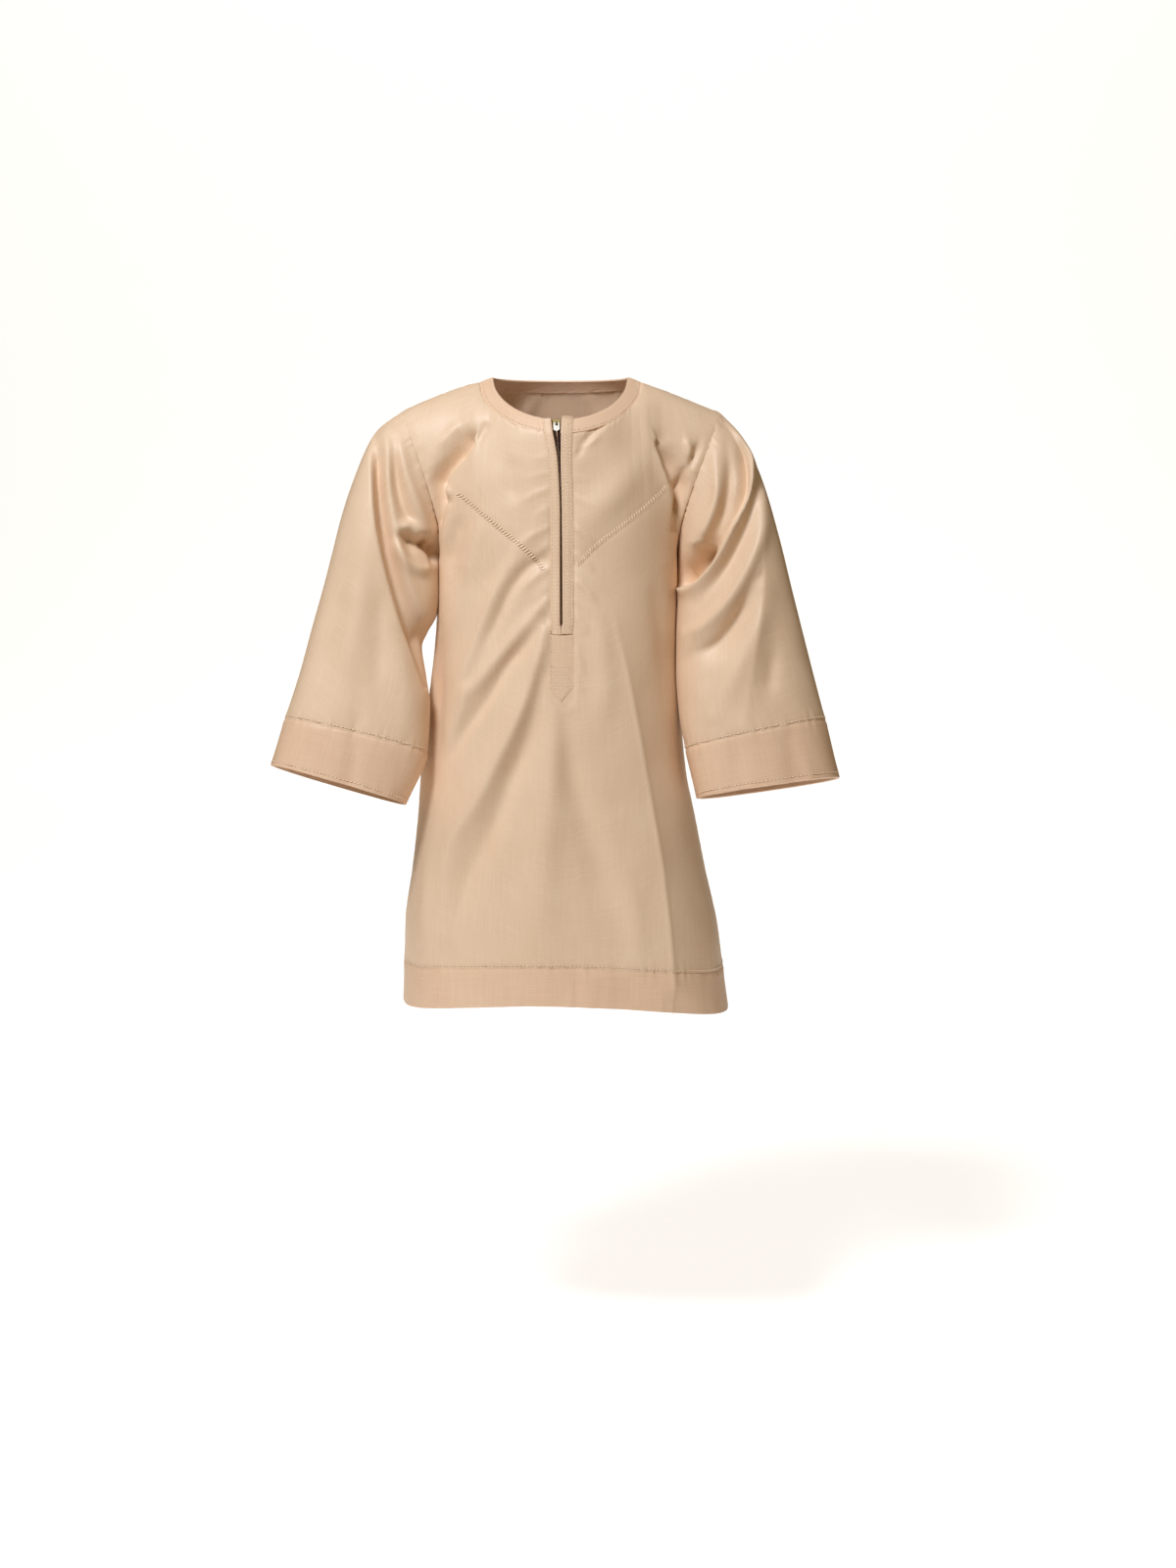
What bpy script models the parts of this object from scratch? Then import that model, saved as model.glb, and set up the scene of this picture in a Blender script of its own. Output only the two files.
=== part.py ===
"""Toddler's thobe as it is worn: a short straight robe with wide sleeves, doubled bands at cuffs and hem,
a bound round neck and a zip placket at the centre front.

Sizes are in millimetres and become metres when a mesh is made. The front faces -Y and +Z is up, so the
wearer's right side is at -X. The origin lies midway between the two neck points, where the robe hangs on
its wearer. Every cloth piece is a wall lofted through the body's or a sleeve's sections.
"""

import math
from collections import namedtuple

import bmesh
import bpy
import numpy as np
from mathutils import Matrix, Vector

MM = 0.001

# Cloth thicknesses and the gaps between pieces
PANEL_WALL = 1.2
BAND_WALL = 2.0
BINDING_WALL = 1.4
WELT_WALL = 1.0
TAPE_WALL = 1.0
SEAM_GAP = 0.3
LAID_GAP = 0.5

# Neck opening: the finished edge and the seam where the binding meets the panels
NECK_HALF_WIDTH = 49.0
NECK_POINT_HEIGHT = 3.0
NECK_EDGE = {"front": (46.0, 26.0), "back": (38.0, 6.0)}
BINDING_SPREAD = 9.0
BINDING_FALL = 3.5
NECK_SEAM = {"front": (52.0, 31.5), "back": (43.0, 11.0)}

# Shoulder seam, from the binding to the sleeve head
Shoulder = namedtuple("Shoulder", "tip drop roundness")
SHOULDERS = {"right": Shoulder(114.0, 20.5, 1.3), "left": Shoulder(115.5, 22.0, 1.05)}
NECK_SHARE = 0.6

# Body below the armpits
ARMPIT_HEIGHT = -128.0
HEM_HEIGHT = -461.0
HEM_BAND = 31.0
HEM_RISE = {"front": 17.0, "back": 8.0}
HEM_TILT = 3.0
SQUARENESS = 0.03

Section = namedtuple("Section", "height right left front back")
BODY = (
    Section(-128, 87.0, 85.0, 64, 58),
    Section(-155, 89.5, 86.0, 68, 60),
    Section(-190, 92.0, 86.0, 72, 62),
    Section(-240, 98.0, 88.0, 76, 64),
    Section(-285, 103.0, 92.0, 78, 66),
    Section(-320, 105.5, 99.0, 80, 69),
    Section(-360, 110.0, 107.0, 82, 73),
    Section(-400, 115.5, 116.0, 85, 77),
    Section(-440, 116.5, 121.0, 87, 81),
    Section(-461, 117.0, 124.0, 88, 83),
)

# How each panel rounds over the shoulder: the handles of a curve from its top edge to the armpit level
Handle = namedtuple("Handle", "across top_forward top_down low_in low_forward low_up")
YOKE = {
    "front": (
        Handle(0.0, 5, 16, 0, -2.5, 40),
        Handle(0.3, 10, 13, 3, 3, 42),
        Handle(0.6, 26, 0, 8, 12, 46),
        Handle(0.8, 28, 1, 4, 26, 44),
        Handle(1.0, 30, 3, 3, 44, 34),
    ),
    "back": (
        Handle(0.0, 9, 16, 0, 0, 40),
        Handle(0.3, 12, 12, 3, 4, 42),
        Handle(0.6, 26, 0, 8, 12, 46),
        Handle(0.8, 28, 1, 4, 26, 44),
        Handle(1.0, 30, 3, 3, 42, 34),
    ),
}

# Sleeves: where each section's outer and inner edge lie, its middle's depth and its half depth
Ring = namedtuple("Ring", "along outer_x outer_z inner_x inner_z middle_y half_depth raised")
SLEEVES = {
    "right": (
        Ring(0.00, 114, -20, 87, -128, 0, 29, 0),
        Ring(0.08, 134, -36, 89, -136, -4, 31, 1),
        Ring(0.20, 150, -70, 89, -152, -11, 32, 2),
        Ring(0.30, 159, -97, 91, -168, -16, 33, 3),
        Ring(0.38, 165, -120, 97, -181, -19, 33, 4),
        Ring(0.46, 171, -143, 101, -191, -21, 34, 5),
        Ring(0.60, 181, -178, 98, -211, -26, 34, 6),
        Ring(0.72, 189, -207, 95, -234, -32, 33, 7),
        Ring(0.88, 200, -241, 97, -266, -40, 32, 8),
        Ring(1.00, 210, -274, 113, -303, -46, 31, 8),
    ),
    "left": (
        Ring(0.00, 115, -20, 85, -128, 0, 29, 0),
        Ring(0.08, 131, -38, 87, -137, -4, 31, 1),
        Ring(0.20, 146, -70, 86, -156, -12, 32, 3),
        Ring(0.35, 158, -110, 85, -182, -19, 33, 5),
        Ring(0.50, 168, -150, 85, -207, -23, 34, 7),
        Ring(0.68, 180, -197, 87, -236, -30, 33, 9),
        Ring(0.88, 192, -243, 92, -264, -37, 32, 10),
        Ring(1.00, 202, -284, 99, -299, -42, 31, 11),
    ),
}
SLEEVE_SQUARENESS = 0.02
ARMHOLE_REACH = 0.28
CUFF_SEAM = 0.88

# Largest folds, seen from the front or back: a path (x, z) through three points, its height and its widths
Fold = namedtuple("Fold", "x0 z0 x1 z1 x2 z2 height start_width end_width left_share")
FOLDS = {
    "front": (
        Fold(-66, -36, -78, -50, -90, -80, -5.0, 9, 9, 1.0),
        Fold(72, -38, 86, -58, 86, -88, -6.0, 9, 9, 1.0),
        Fold(12, -106, 38, -72, 66, -46, 2.5, 12, 16, 1.0),
        Fold(-12, -92, -40, -130, -72, -225, 2.6, 8, 10, 1.0),
        Fold(-16, -126, -44, -160, -64, -215, -2.6, 8, 9, 1.0),
        Fold(-14, -168, -34, -196, -88, -282, -3.0, 8, 12, 1.0),
        Fold(-12, -180, -42, -268, -84, -420, 4.2, 9, 14, 1.0),
        Fold(-12, -215, -40, -300, -78, -410, -3.6, 8, 14, 1.0),
        Fold(-4, -226, -8, -290, -14, -412, 3.6, 9, 20, 1.0),
        Fold(2, -238, 14, -300, 38, -400, -3.4, 9, 16, 1.0),
        Fold(30, -145, 58, -260, 79, -445, 4.5, 11, 9, 1.4),
    ),
    "back": (
        Fold(-60, -60, -70, -140, -84, -230, -4.0, 11, 12, 1.0),
        Fold(62, -64, 70, -150, 80, -240, -4.0, 11, 12, 1.0),
        Fold(-34, -70, -46, -220, -66, -420, 4.2, 12, 20, 1.0),
        Fold(-6, -110, -8, -260, -18, -430, -4.6, 11, 20, 1.0),
        Fold(26, -90, 34, -240, 40, -430, 4.8, 12, 20, 1.0),
        Fold(58, -180, 64, -290, 76, -430, -4.4, 11, 16, 1.0),
        Fold(-76, -240, -88, -330, -94, -440, -3.6, 11, 14, 1.0),
    ),
}
SLEEVE_FOLDS = {
    ("right", "front"): (
        Fold(-132, -66, -124, -140, -96, -222, -7.0, 9, 10, 0.5),
        Fold(-140, -70, -134, -140, -112, -210, 3.0, 9, 10, 1.0),
        Fold(-118, -52, -114, -84, -98, -110, -4.0, 8, 8, 1.0),
        Fold(-150, -110, -160, -180, -176, -232, -2.2, 12, 16, 1.0),
    ),
    ("left", "front"): (
        Fold(126, -46, 140, -88, 92, -150, 5.5, 9, 8, 1.0),
        Fold(140, -76, 132, -128, 96, -170, -4.5, 9, 9, 1.0),
        Fold(143, -90, 134, -142, 96, -186, 3.6, 8, 9, 1.0),
        Fold(140, -140, 122, -180, 90, -208, -4.0, 8, 10, 1.0),
        Fold(143, -130, 142, -190, 130, -250, 4.0, 9, 14, 1.2),
    ),
    ("right", "back"): (
        Fold(-118, -56, -126, -110, -104, -160, -4.5, 9, 10, 1.0),
        Fold(-140, -80, -142, -150, -128, -230, 4.0, 10, 16, 1.0),
        Fold(-118, -120, -128, -170, -150, -240, -3.6, 10, 14, 1.0),
    ),
    ("left", "back"): (
        Fold(120, -60, 124, -112, 98, -158, -4.5, 9, 10, 1.0),
        Fold(138, -84, 136, -150, 118, -236, 4.2, 10, 16, 1.0),
        Fold(114, -124, 126, -180, 152, -244, -3.6, 10, 14, 1.0),
    ),
}
FOLD_SAMPLES = 25
FOLD_TAPER = 0.35
FOLD_END = 0.15
FADE_FACING = 0.5
ARMHOLE_FADE = 9.0
PLACKET_REACH = 10.0
PLACKET_FADE = 12.0

# Zip slit at the centre front: its middle and half width at each height
Slit = namedtuple("Slit", "height middle half_width")
SLIT = (
    Slit(-169, 0.1, 1.1),
    Slit(-88, 0.0, 1.0),
    Slit(-53, -1.2, 1.3),
    Slit(-38, -2.2, 2.4),
    Slit(-31, -2.8, 3.2),
    Slit(-23, -3.0, 4.0),
)
SLIT_END = -169.0
WELT_WIDTH = {"right": 6.0, "left": 8.0}
WELT_END = -174.0
TAB_HALF_WIDTH = 9.5
TAB_TOP = -174.6
TAB_SHOULDER = -212.0
TAB_POINT = -222.0

# Zip
TAPE_DEPTH = 1.9
TAPE_WIDTH = 10.0
TAPE_TOP = -21.5
TAPE_END = -176.0
TAPE_MEETING = 0.35
TAPE_PARTING = 1.7
SLIDER_HEIGHT = -25.6
SLIDER_LENGTH = 7.4
SLIDER_TOP_WIDTH = 6.2
SLIDER_END_WIDTH = 4.8
PLATE_THICKNESS = 1.0
PLATE_BEVEL = 0.25
UPPER_PLATE = -1.1
LOWER_PLATE = -3.7
WEDGE_SIZE = (2.0, 2.4)
BAIL_RADIUS = 1.15
BAIL_WIRE = 0.4
PULL_AXIS = 0.2
PULL_THICKNESS = 0.6
PULL_LENGTH = 6.2
PULL_EYE_HALF_WIDTH = 1.9
PULL_END_HALF_WIDTH = 2.3
EYE_HOLE_HALF_WIDTH = 1.0
EYE_HOLE_TOP = 0.3
EYE_HOLE_END = 1.95

# Mesh counts
SHOULDER_COLUMNS = 5
NECK_COLUMNS = {"front": 9, "back": 6}
YOKE_ROWS = 12
SLIT_ROWS = 3
SKIRT_ROWS = 13
BAND_ROWS = 2
SLEEVE_ROWS = 18
CUFF_ROWS = 2

SIDE_SIGN = {"right": -1.0, "left": 1.0}
FACE_SIGN = {"front": -1.0, "back": 1.0}
NORMAL_STEP = 2e-3

PEACH = (0.72, 0.51, 0.34)
BAND_PEACH = (0.74, 0.50, 0.36)
BROWN = (0.09, 0.035, 0.02)
BRASS = (0.42, 0.36, 0.24)
SILVER = (0.75, 0.74, 0.72)
PANEL_ROUGHNESS = 0.6
BAND_ROUGHNESS = 0.65
TAPE_ROUGHNESS = 0.8
METAL_ROUGHNESS = 0.3


def eased(keys, rows, at):
    """A smooth curve through rows of values that never swings past them."""
    keys = np.asarray(keys, float)
    rows = np.asarray(rows, float)
    slopes = np.diff(rows, axis=0) / np.diff(keys)[:, None]
    product = slopes[:-1] * slopes[1:]
    total = np.where(np.abs(slopes[:-1] + slopes[1:]) < 1e-12, 1.0, slopes[:-1] + slopes[1:])
    inner = np.where(product > 0, 2.0 * product / total, 0.0)
    slopes = np.vstack([slopes[:1], inner, slopes[-1:]])
    at = np.asarray(at, float)
    cell = np.clip(np.searchsorted(keys, at) - 1, 0, len(keys) - 2)
    span = keys[cell + 1] - keys[cell]
    t = np.clip((at - keys[cell]) / span, 0.0, 1.0)[..., None]
    span = span[..., None]
    return (
        (2 * t**3 - 3 * t**2 + 1) * rows[cell]
        + (t**3 - 2 * t**2 + t) * span * slopes[cell]
        + (3 * t**2 - 2 * t**3) * rows[cell + 1]
        + (t**3 - t**2) * span * slopes[cell + 1]
    )


def smoothstep(value):
    """0 to 1 with level ends."""
    value = np.clip(value, 0.0, 1.0)
    return value * value * (3.0 - 2.0 * value)


def unit(vectors):
    return vectors / np.maximum(np.linalg.norm(vectors, axis=-1, keepdims=True), 1e-9)


def section_points(face, a, height):
    """Points of the body below the armpits; a runs from -1 at the right side seam to 1 at the left."""
    rows = BODY[::-1]
    table = eased([row.height for row in rows], [row[1:] for row in rows], height)
    turn = np.abs(a) * math.pi / 2
    half_width = np.where(a < 0, table[..., 0], table[..., 1])
    half_depth = table[..., 2] if face == "front" else table[..., 3]
    x = np.sign(a) * half_width * (np.sin(turn) + SQUARENESS * np.sin(3 * turn)) / (1 - SQUARENESS)
    y = half_depth * (np.cos(turn) - SQUARENESS * np.cos(3 * turn)) / (1 - SQUARENESS)
    return np.stack([x, FACE_SIGN[face] * y, height + 0.0 * a], axis=-1)


def neck_ring(depth_and_drop, half_width, height, face, turn):
    """Points of the neck edge or the neck seam, turn running from the centre to the neck point."""
    depth, drop = depth_and_drop
    x = half_width * np.sin(turn)
    y = FACE_SIGN[face] * depth * np.cos(turn)
    z = height - drop * np.cos(turn)
    return np.stack([x, y, z], axis=-1)


def top_edge(face, a):
    """Top edge of a panel: the neck seam, then the shoulder seam out to the sleeve head."""
    share = np.abs(a)
    turn = np.clip(share / NECK_SHARE, 0.0, 1.0) * math.pi / 2
    seam_half_width = NECK_HALF_WIDTH + BINDING_SPREAD
    seam_height = NECK_POINT_HEIGHT - BINDING_FALL
    neck = neck_ring(NECK_SEAM[face], seam_half_width, seam_height, face, turn)
    out = np.clip((share - NECK_SHARE) / (1 - NECK_SHARE), 0.0, 1.0)
    for side, shoulder in SHOULDERS.items():
        here = np.sign(a) == SIDE_SIGN[side]
        neck[..., 0] += np.where(here, out * (shoulder.tip - seam_half_width), 0.0)
        neck[..., 2] -= np.where(here, shoulder.drop * out**shoulder.roundness, 0.0)
    neck[..., 0] *= np.where(a < 0, -1.0, 1.0)
    return neck


def body_points(face, a, v):
    """The body's outer face. v runs down it: -1 neck edge, 0 panel's top edge, 1 armpits, 2 hem."""
    a, v = np.broadcast_arrays(np.asarray(a, float), np.asarray(v, float))
    side = np.where(a < 0, -1.0, 1.0)
    front = FACE_SIGN[face]
    top = top_edge(face, a)
    down = np.clip(v - 1, 0.0, 1.0)
    height = ARMPIT_HEIGHT + (HEM_HEIGHT - ARMPIT_HEIGHT) * down
    low = section_points(face, a, height)
    turn = a * math.pi / 2
    hang = HEM_RISE[face] * np.cos(turn) ** 2 - HEM_TILT * np.sin(turn)
    low[..., 2] += hang * down**2
    armpit = section_points(face, a, np.full(a.shape, ARMPIT_HEIGHT))
    rows = YOKE[face]
    handle = eased([row.across for row in rows], [row[1:] for row in rows], np.abs(a))
    zero = 0.0 * a
    first = top + np.stack([zero, front * handle[..., 0], -handle[..., 1]], axis=-1)
    second = armpit + np.stack([-side * handle[..., 2], front * handle[..., 3], handle[..., 4]], axis=-1)
    t = np.clip(v, 0.0, 1.0)[..., None]
    yoke = (1 - t) ** 3 * top + 3 * t * (1 - t) ** 2 * first + 3 * t**2 * (1 - t) * second + t**3 * armpit
    neck_turn = np.clip(np.abs(a) / NECK_SHARE, 0.0, 1.0) * math.pi / 2
    edge = neck_ring(NECK_EDGE[face], NECK_HALF_WIDTH, NECK_POINT_HEIGHT, face, neck_turn)
    edge[..., 0] *= side
    binding = top + (edge - top) * np.clip(-v, 0.0, 1.0)[..., None]
    v = v[..., None]
    return np.where(v < 0, binding, np.where(v <= 1, yoke, low))


def body_normals(face, a, v):
    """Outward normals of the body's outer face; at the neck points, those of the shoulder beside them."""
    a, v = np.broadcast_arrays(np.asarray(a, float), np.asarray(v, float))
    at_neck_point = np.abs(np.abs(a) - NECK_SHARE) < NORMAL_STEP
    a = np.where(at_neck_point, np.sign(a) * (NECK_SHARE + 2 * NORMAL_STEP), a)
    v = np.where(at_neck_point, np.maximum(v, 0.0), v)
    highest = np.where(np.abs(a) < NECK_SHARE, -1.0, 0.0)
    rightward = np.maximum(a - NORMAL_STEP, -1.0)
    leftward = np.minimum(a + NORMAL_STEP, 1.0)
    above = np.maximum(v - NORMAL_STEP, highest)
    below = np.minimum(v + NORMAL_STEP, 2.0)
    across = body_points(face, leftward, v) - body_points(face, rightward, v)
    down = body_points(face, a, below) - body_points(face, a, above)
    return unit(np.cross(down, across) * -FACE_SIGN[face])


def sleeve_loop(side, along, t):
    """The smooth tube of a sleeve; t runs round it: 0 outer edge, 0.5 front, 1 inner edge, 1.5 back."""
    rows = SLEEVES[side]
    table = eased([row.along for row in rows], [row[1:] for row in rows], along)
    outer_x, outer_z, inner_x, inner_z, middle_y, half_depth, raised = (table[..., i] for i in range(7))
    turn = t * math.pi
    wide = (np.cos(turn) - SLEEVE_SQUARENESS * np.cos(3 * turn)) / (1 - SLEEVE_SQUARENESS)
    deep = (np.sin(turn) + SLEEVE_SQUARENESS * np.sin(3 * turn)) / (1 - SLEEVE_SQUARENESS)
    x = (outer_x + inner_x) / 2 + (outer_x - inner_x) / 2 * wide
    y = middle_y - half_depth * deep
    z = (outer_z + inner_z) / 2 + (outer_z - inner_z) / 2 * wide + raised * deep
    return np.stack([SIDE_SIGN[side] * x, y, z], axis=-1)


def armhole(side, t):
    """The seam between body and sleeve, t running as in sleeve_loop."""
    a = np.full(np.shape(t), SIDE_SIGN[side])
    front = body_points("front", a, np.clip(t, 0.0, 1.0))
    back = body_points("back", a, np.clip(2.0 - t, 0.0, 1.0))
    return np.where((np.asarray(t) <= 1.0)[..., None], front, back)


def sleeve_points(side, along, t):
    """A sleeve's outer face: the tube, drawn on to the armhole at its top."""
    along, t = np.broadcast_arrays(np.asarray(along, float), np.asarray(t, float))
    t = np.mod(t, 2.0)
    loop = sleeve_loop(side, along, t)
    fade = np.clip(1.0 - along / ARMHOLE_REACH, 0.0, 1.0)[..., None] ** 2
    return loop + (armhole(side, t) - sleeve_loop(side, 0.0 * along, t)) * fade


def sleeve_normals(side, along, t):
    """Outward normals of a sleeve's outer face."""
    along, t = np.broadcast_arrays(np.asarray(along, float), np.asarray(t, float))
    round_it = sleeve_points(side, along, t + NORMAL_STEP) - sleeve_points(side, along, t - NORMAL_STEP)
    above = np.maximum(along - NORMAL_STEP, 0.0)
    below = np.minimum(along + NORMAL_STEP, 1.0)
    down = sleeve_points(side, below, t) - sleeve_points(side, above, t)
    return unit(np.cross(round_it, down) * SIDE_SIGN[side])


def armhole_normals(side, t):
    """Normals shared by both pieces at the armhole, so that their edges stay parallel."""
    a = np.full(np.shape(t), SIDE_SIGN[side])
    front = body_normals("front", a, np.clip(t, 0.0, 1.0))
    back = body_normals("back", a, np.clip(2.0 - t, 0.0, 1.0))
    body = np.where((np.asarray(t) <= 1.0)[..., None], front, back)
    return unit(body + sleeve_normals(side, 0.0 * t, t))


def fold_lift(folds, x, z):
    """How far the folds raise the cloth at (x, z) in front view."""
    lift = np.zeros(np.shape(x))
    for fold in folds:
        s = np.linspace(0.0, 1.0, FOLD_SAMPLES)
        path_x = (1 - s) ** 2 * fold.x0 + 2 * s * (1 - s) * fold.x1 + s**2 * fold.x2
        path_z = (1 - s) ** 2 * fold.z0 + 2 * s * (1 - s) * fold.z1 + s**2 * fold.z2
        dx = np.asarray(x)[..., None] - path_x
        dz = np.asarray(z)[..., None] - path_z
        nearest = np.argmin(dx**2 + dz**2, axis=-1)
        reach = np.sqrt(np.min(dx**2 + dz**2, axis=-1))
        at = s[nearest]
        run_x = np.gradient(path_x)[nearest]
        run_z = np.gradient(path_z)[nearest]
        off_x = np.take_along_axis(dx, nearest[..., None], -1)[..., 0]
        off_z = np.take_along_axis(dz, nearest[..., None], -1)[..., 0]
        on_left = run_x * off_z - run_z * off_x < 0
        width = fold.start_width + (fold.end_width - fold.start_width) * at
        width = np.where(on_left, width * fold.left_share, width)
        swell = np.sin(math.pi * (FOLD_END + (1.0 - 2.0 * FOLD_END) * at))
        taper = FOLD_TAPER + (1.0 - FOLD_TAPER) * swell
        lift += fold.height * taper * np.exp(-((reach / width) ** 2))
    return lift


def facing(normals, sign):
    """1 where the cloth faces the front (sign -1) or the back (sign 1), fading to 0 at the outline."""
    return smoothstep(sign * normals[..., 1] / FADE_FACING)


def armhole_distance(side, points):
    """Distance from points to the armhole seam."""
    seam = armhole(side, np.linspace(0.0, 2.0, 49))
    return np.min(np.linalg.norm(points[..., None, :] - seam, axis=-1), axis=-1)


def body_lift(face, points, normals):
    """How far the folds raise the body, fading out beside the placket and the armholes."""
    lift = facing(normals, FACE_SIGN[face]) * fold_lift(FOLDS[face], points[..., 0], points[..., 2])
    if face == "front":
        from_placket = np.abs(points[..., 0]) + np.maximum(TAB_POINT - points[..., 2], 0.0)
        lift = lift * smoothstep((from_placket - PLACKET_REACH) / PLACKET_FADE)
    for side in SIDE_SIGN:
        lift = lift * smoothstep(armhole_distance(side, points) / ARMHOLE_FADE)
    return lift


def sleeve_lift(side, points, normals):
    """How far the folds raise a sleeve, fading out at its armhole."""
    lift = 0.0
    for face, sign in FACE_SIGN.items():
        folds = SLEEVE_FOLDS[side, face]
        lift = lift + facing(normals, sign) * fold_lift(folds, points[..., 0], points[..., 2])
    return lift * smoothstep(armhole_distance(side, points) / ARMHOLE_FADE)


def find_on_front(x, z):
    """The (a, v) of the front's outer face at x, z in front view."""
    x, z = np.broadcast_arrays(np.asarray(x, float), np.asarray(z, float))
    a = x / SHOULDERS["left"].tip
    v = np.full(x.shape, 0.5)
    for _ in range(8):
        low = np.full(x.shape, -1.0)
        high = np.full(x.shape, 2.0)
        for _ in range(22):
            v = (low + high) / 2
            above = body_points("front", a, v)[..., 2] > z
            low = np.where(above, v, low)
            high = np.where(above, high, v)
        low = np.full(x.shape, -1.0)
        high = np.full(x.shape, 1.0)
        for _ in range(22):
            a = (low + high) / 2
            short = body_points("front", a, v)[..., 0] < x
            low = np.where(short, a, low)
            high = np.where(short, high, a)
    return a, v


def on_front(x, z, out):
    """Points of the front at x, z in front view, moved out from its outer face."""
    a, v = find_on_front(x, z)
    points = body_points("front", a, v)
    normals = body_normals("front", a, v)
    return points + normals * (body_lift("front", points, normals) + out)[..., None]


def slit_at(height):
    """Middle and half width of the zip slit at a height."""
    height = np.clip(height, SLIT_END, SLIT[-1].height)
    table = eased([row.height for row in SLIT], [row[1:] for row in SLIT], height)
    return table[..., 0], table[..., 1]


def plain_material(name, colour, roughness, metallic=0.0):
    material = bpy.data.materials.new(name)
    material.use_nodes = True
    shader = material.node_tree.nodes["Principled BSDF"]
    shader.inputs["Base Color"].default_value = (*colour, 1.0)
    shader.inputs["Roughness"].default_value = roughness
    shader.inputs["Metallic"].default_value = metallic
    material.diffuse_color = (*colour, 1.0)
    return material


def link_mesh(name, vertices, faces, material):
    mesh = bpy.data.meshes.new(name)
    mesh.from_pydata([tuple(float(c) for c in vertex) for vertex in vertices], [], faces)
    mesh.materials.append(material)
    mesh.shade_smooth()
    mesh.set_sharp_from_angle(angle=math.radians(40))
    item = bpy.data.objects.new(name, mesh)
    ROBE.objects.link(item)
    return item


def wall(name, outer, inner, index, material, closed=False, slit=None):
    """A cloth wall between two equal grids of points; index gives each grid place its vertex.

    Its open edges are closed by a rim between the two faces. slit is the column left open."""
    keep, first = np.unique(index, return_index=True)
    number = np.searchsorted(keep, index)
    count = len(keep)
    outer_flat = outer.reshape(-1, 3)[first]
    inner_flat = inner.reshape(-1, 3)[first]
    rows, columns = index.shape
    faces = []
    for r in range(rows - 1):
        for c in range(columns if closed else columns - 1):
            if c == slit:
                continue
            d = (c + 1) % columns
            corners = (number[r, c], number[r + 1, c], number[r + 1, d], number[r, d])
            faces.append([int(corner) for corner in corners])
    seen = {}
    for face in faces:
        for start, end in zip(face, face[1:] + face[:1]):
            seen[start, end] = True
    rim = [[end, start, start + count, end + count] for start, end in seen if (end, start) not in seen]
    lining = [[corner + count for corner in reversed(face)] for face in faces]
    vertices = np.vstack([outer_flat, inner_flat]) * MM
    item = link_mesh(name, vertices, faces + lining + rim, material)
    body = bmesh.new()
    body.from_mesh(item.data)
    bmesh.ops.recalc_face_normals(body, faces=body.faces)
    body.to_mesh(item.data)
    body.free()
    return item


def grid_index(rows, columns):
    return np.arange(rows * columns).reshape(rows, columns)


def draw_back(points, border, inner, closed=False):
    """Moves a border of the grid away from its seam, square to it and towards the row beside it."""
    edge = points[border]
    if closed:
        along = unit(np.roll(edge, -1, axis=0) - np.roll(edge, 1, axis=0))
    else:
        along = unit(np.gradient(edge, axis=0))
    inward = points[inner] - edge
    inward -= along * np.sum(inward * along, axis=-1, keepdims=True)
    points[border] = edge + unit(inward) * SEAM_GAP / 2


def shoulder_shares():
    """Column places from the side seam in to the neck point."""
    return np.linspace(1.0, NECK_SHARE, SHOULDER_COLUMNS + 1)


def neck_shares(face, centre):
    """Column places from the neck point in to the centre, one row for each value of centre."""
    steps = np.linspace(0.0, 1.0, NECK_COLUMNS[face] + 1)[1:]
    return NECK_SHARE + (centre[..., None] - NECK_SHARE) * steps


def hem_seam():
    """Row place of the seam between a panel and its hem band."""
    return 2.0 - HEM_BAND / (ARMPIT_HEIGHT - HEM_HEIGHT)


def slit_end_place():
    """Row place of the slit's lower end."""
    return float(find_on_front(SLIT[0].middle, SLIT_END)[1])


def panel_rows():
    """Row places of both panels, with one at the slit's lower end."""
    slit_end = slit_end_place()
    yoke = np.linspace(0.0, 1.0, YOKE_ROWS + 1)
    slit = np.linspace(1.0, slit_end, SLIT_ROWS + 1)[1:]
    skirt = np.linspace(slit_end, hem_seam(), SKIRT_ROWS + 1)[1:]
    return np.concatenate([yoke, slit, skirt])


def front_columns(rows):
    """Column places of the front for each row, right half then left half, parted along the slit."""
    height = body_points("front", 0.0 * rows, rows)[..., 2]
    middle, half_width = slit_at(height)
    half_width = np.where(rows < slit_end_place() - 1e-6, half_width, 0.0)
    right_edge = find_on_front(middle - half_width, height)[0]
    left_edge = find_on_front(middle + half_width, height)[0]
    outer = np.broadcast_to(shoulder_shares(), (len(rows), SHOULDER_COLUMNS + 1))
    right = -np.hstack([outer, neck_shares("front", -right_edge)])
    left = np.hstack([outer, neck_shares("front", left_edge)])[:, ::-1]
    return np.hstack([right, left])


def back_columns(rows):
    """Column places of the back, the same for every row."""
    outer = shoulder_shares()
    half = np.concatenate([outer, neck_shares("back", np.array(0.0))])
    whole = np.concatenate([-half, half[-2::-1]])
    return np.broadcast_to(whole, (len(rows), len(whole)))


def body_grid(face, a, v):
    """Points with their folds, and the normals to thicken them along."""
    v = np.broadcast_to(v[:, None], a.shape)
    points = body_points(face, a, v)
    normals = body_normals(face, a, v)
    lift = body_lift(face, points, normals)
    for column, side in ((0, "right"), (-1, "left")):
        beside_sleeve = v[:, column] <= 1.0
        t = v[beside_sleeve, column] if face == "front" else 2.0 - v[beside_sleeve, column]
        normals[beside_sleeve, column] = armhole_normals(side, t)
    return points + normals * lift[..., None], normals


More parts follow.
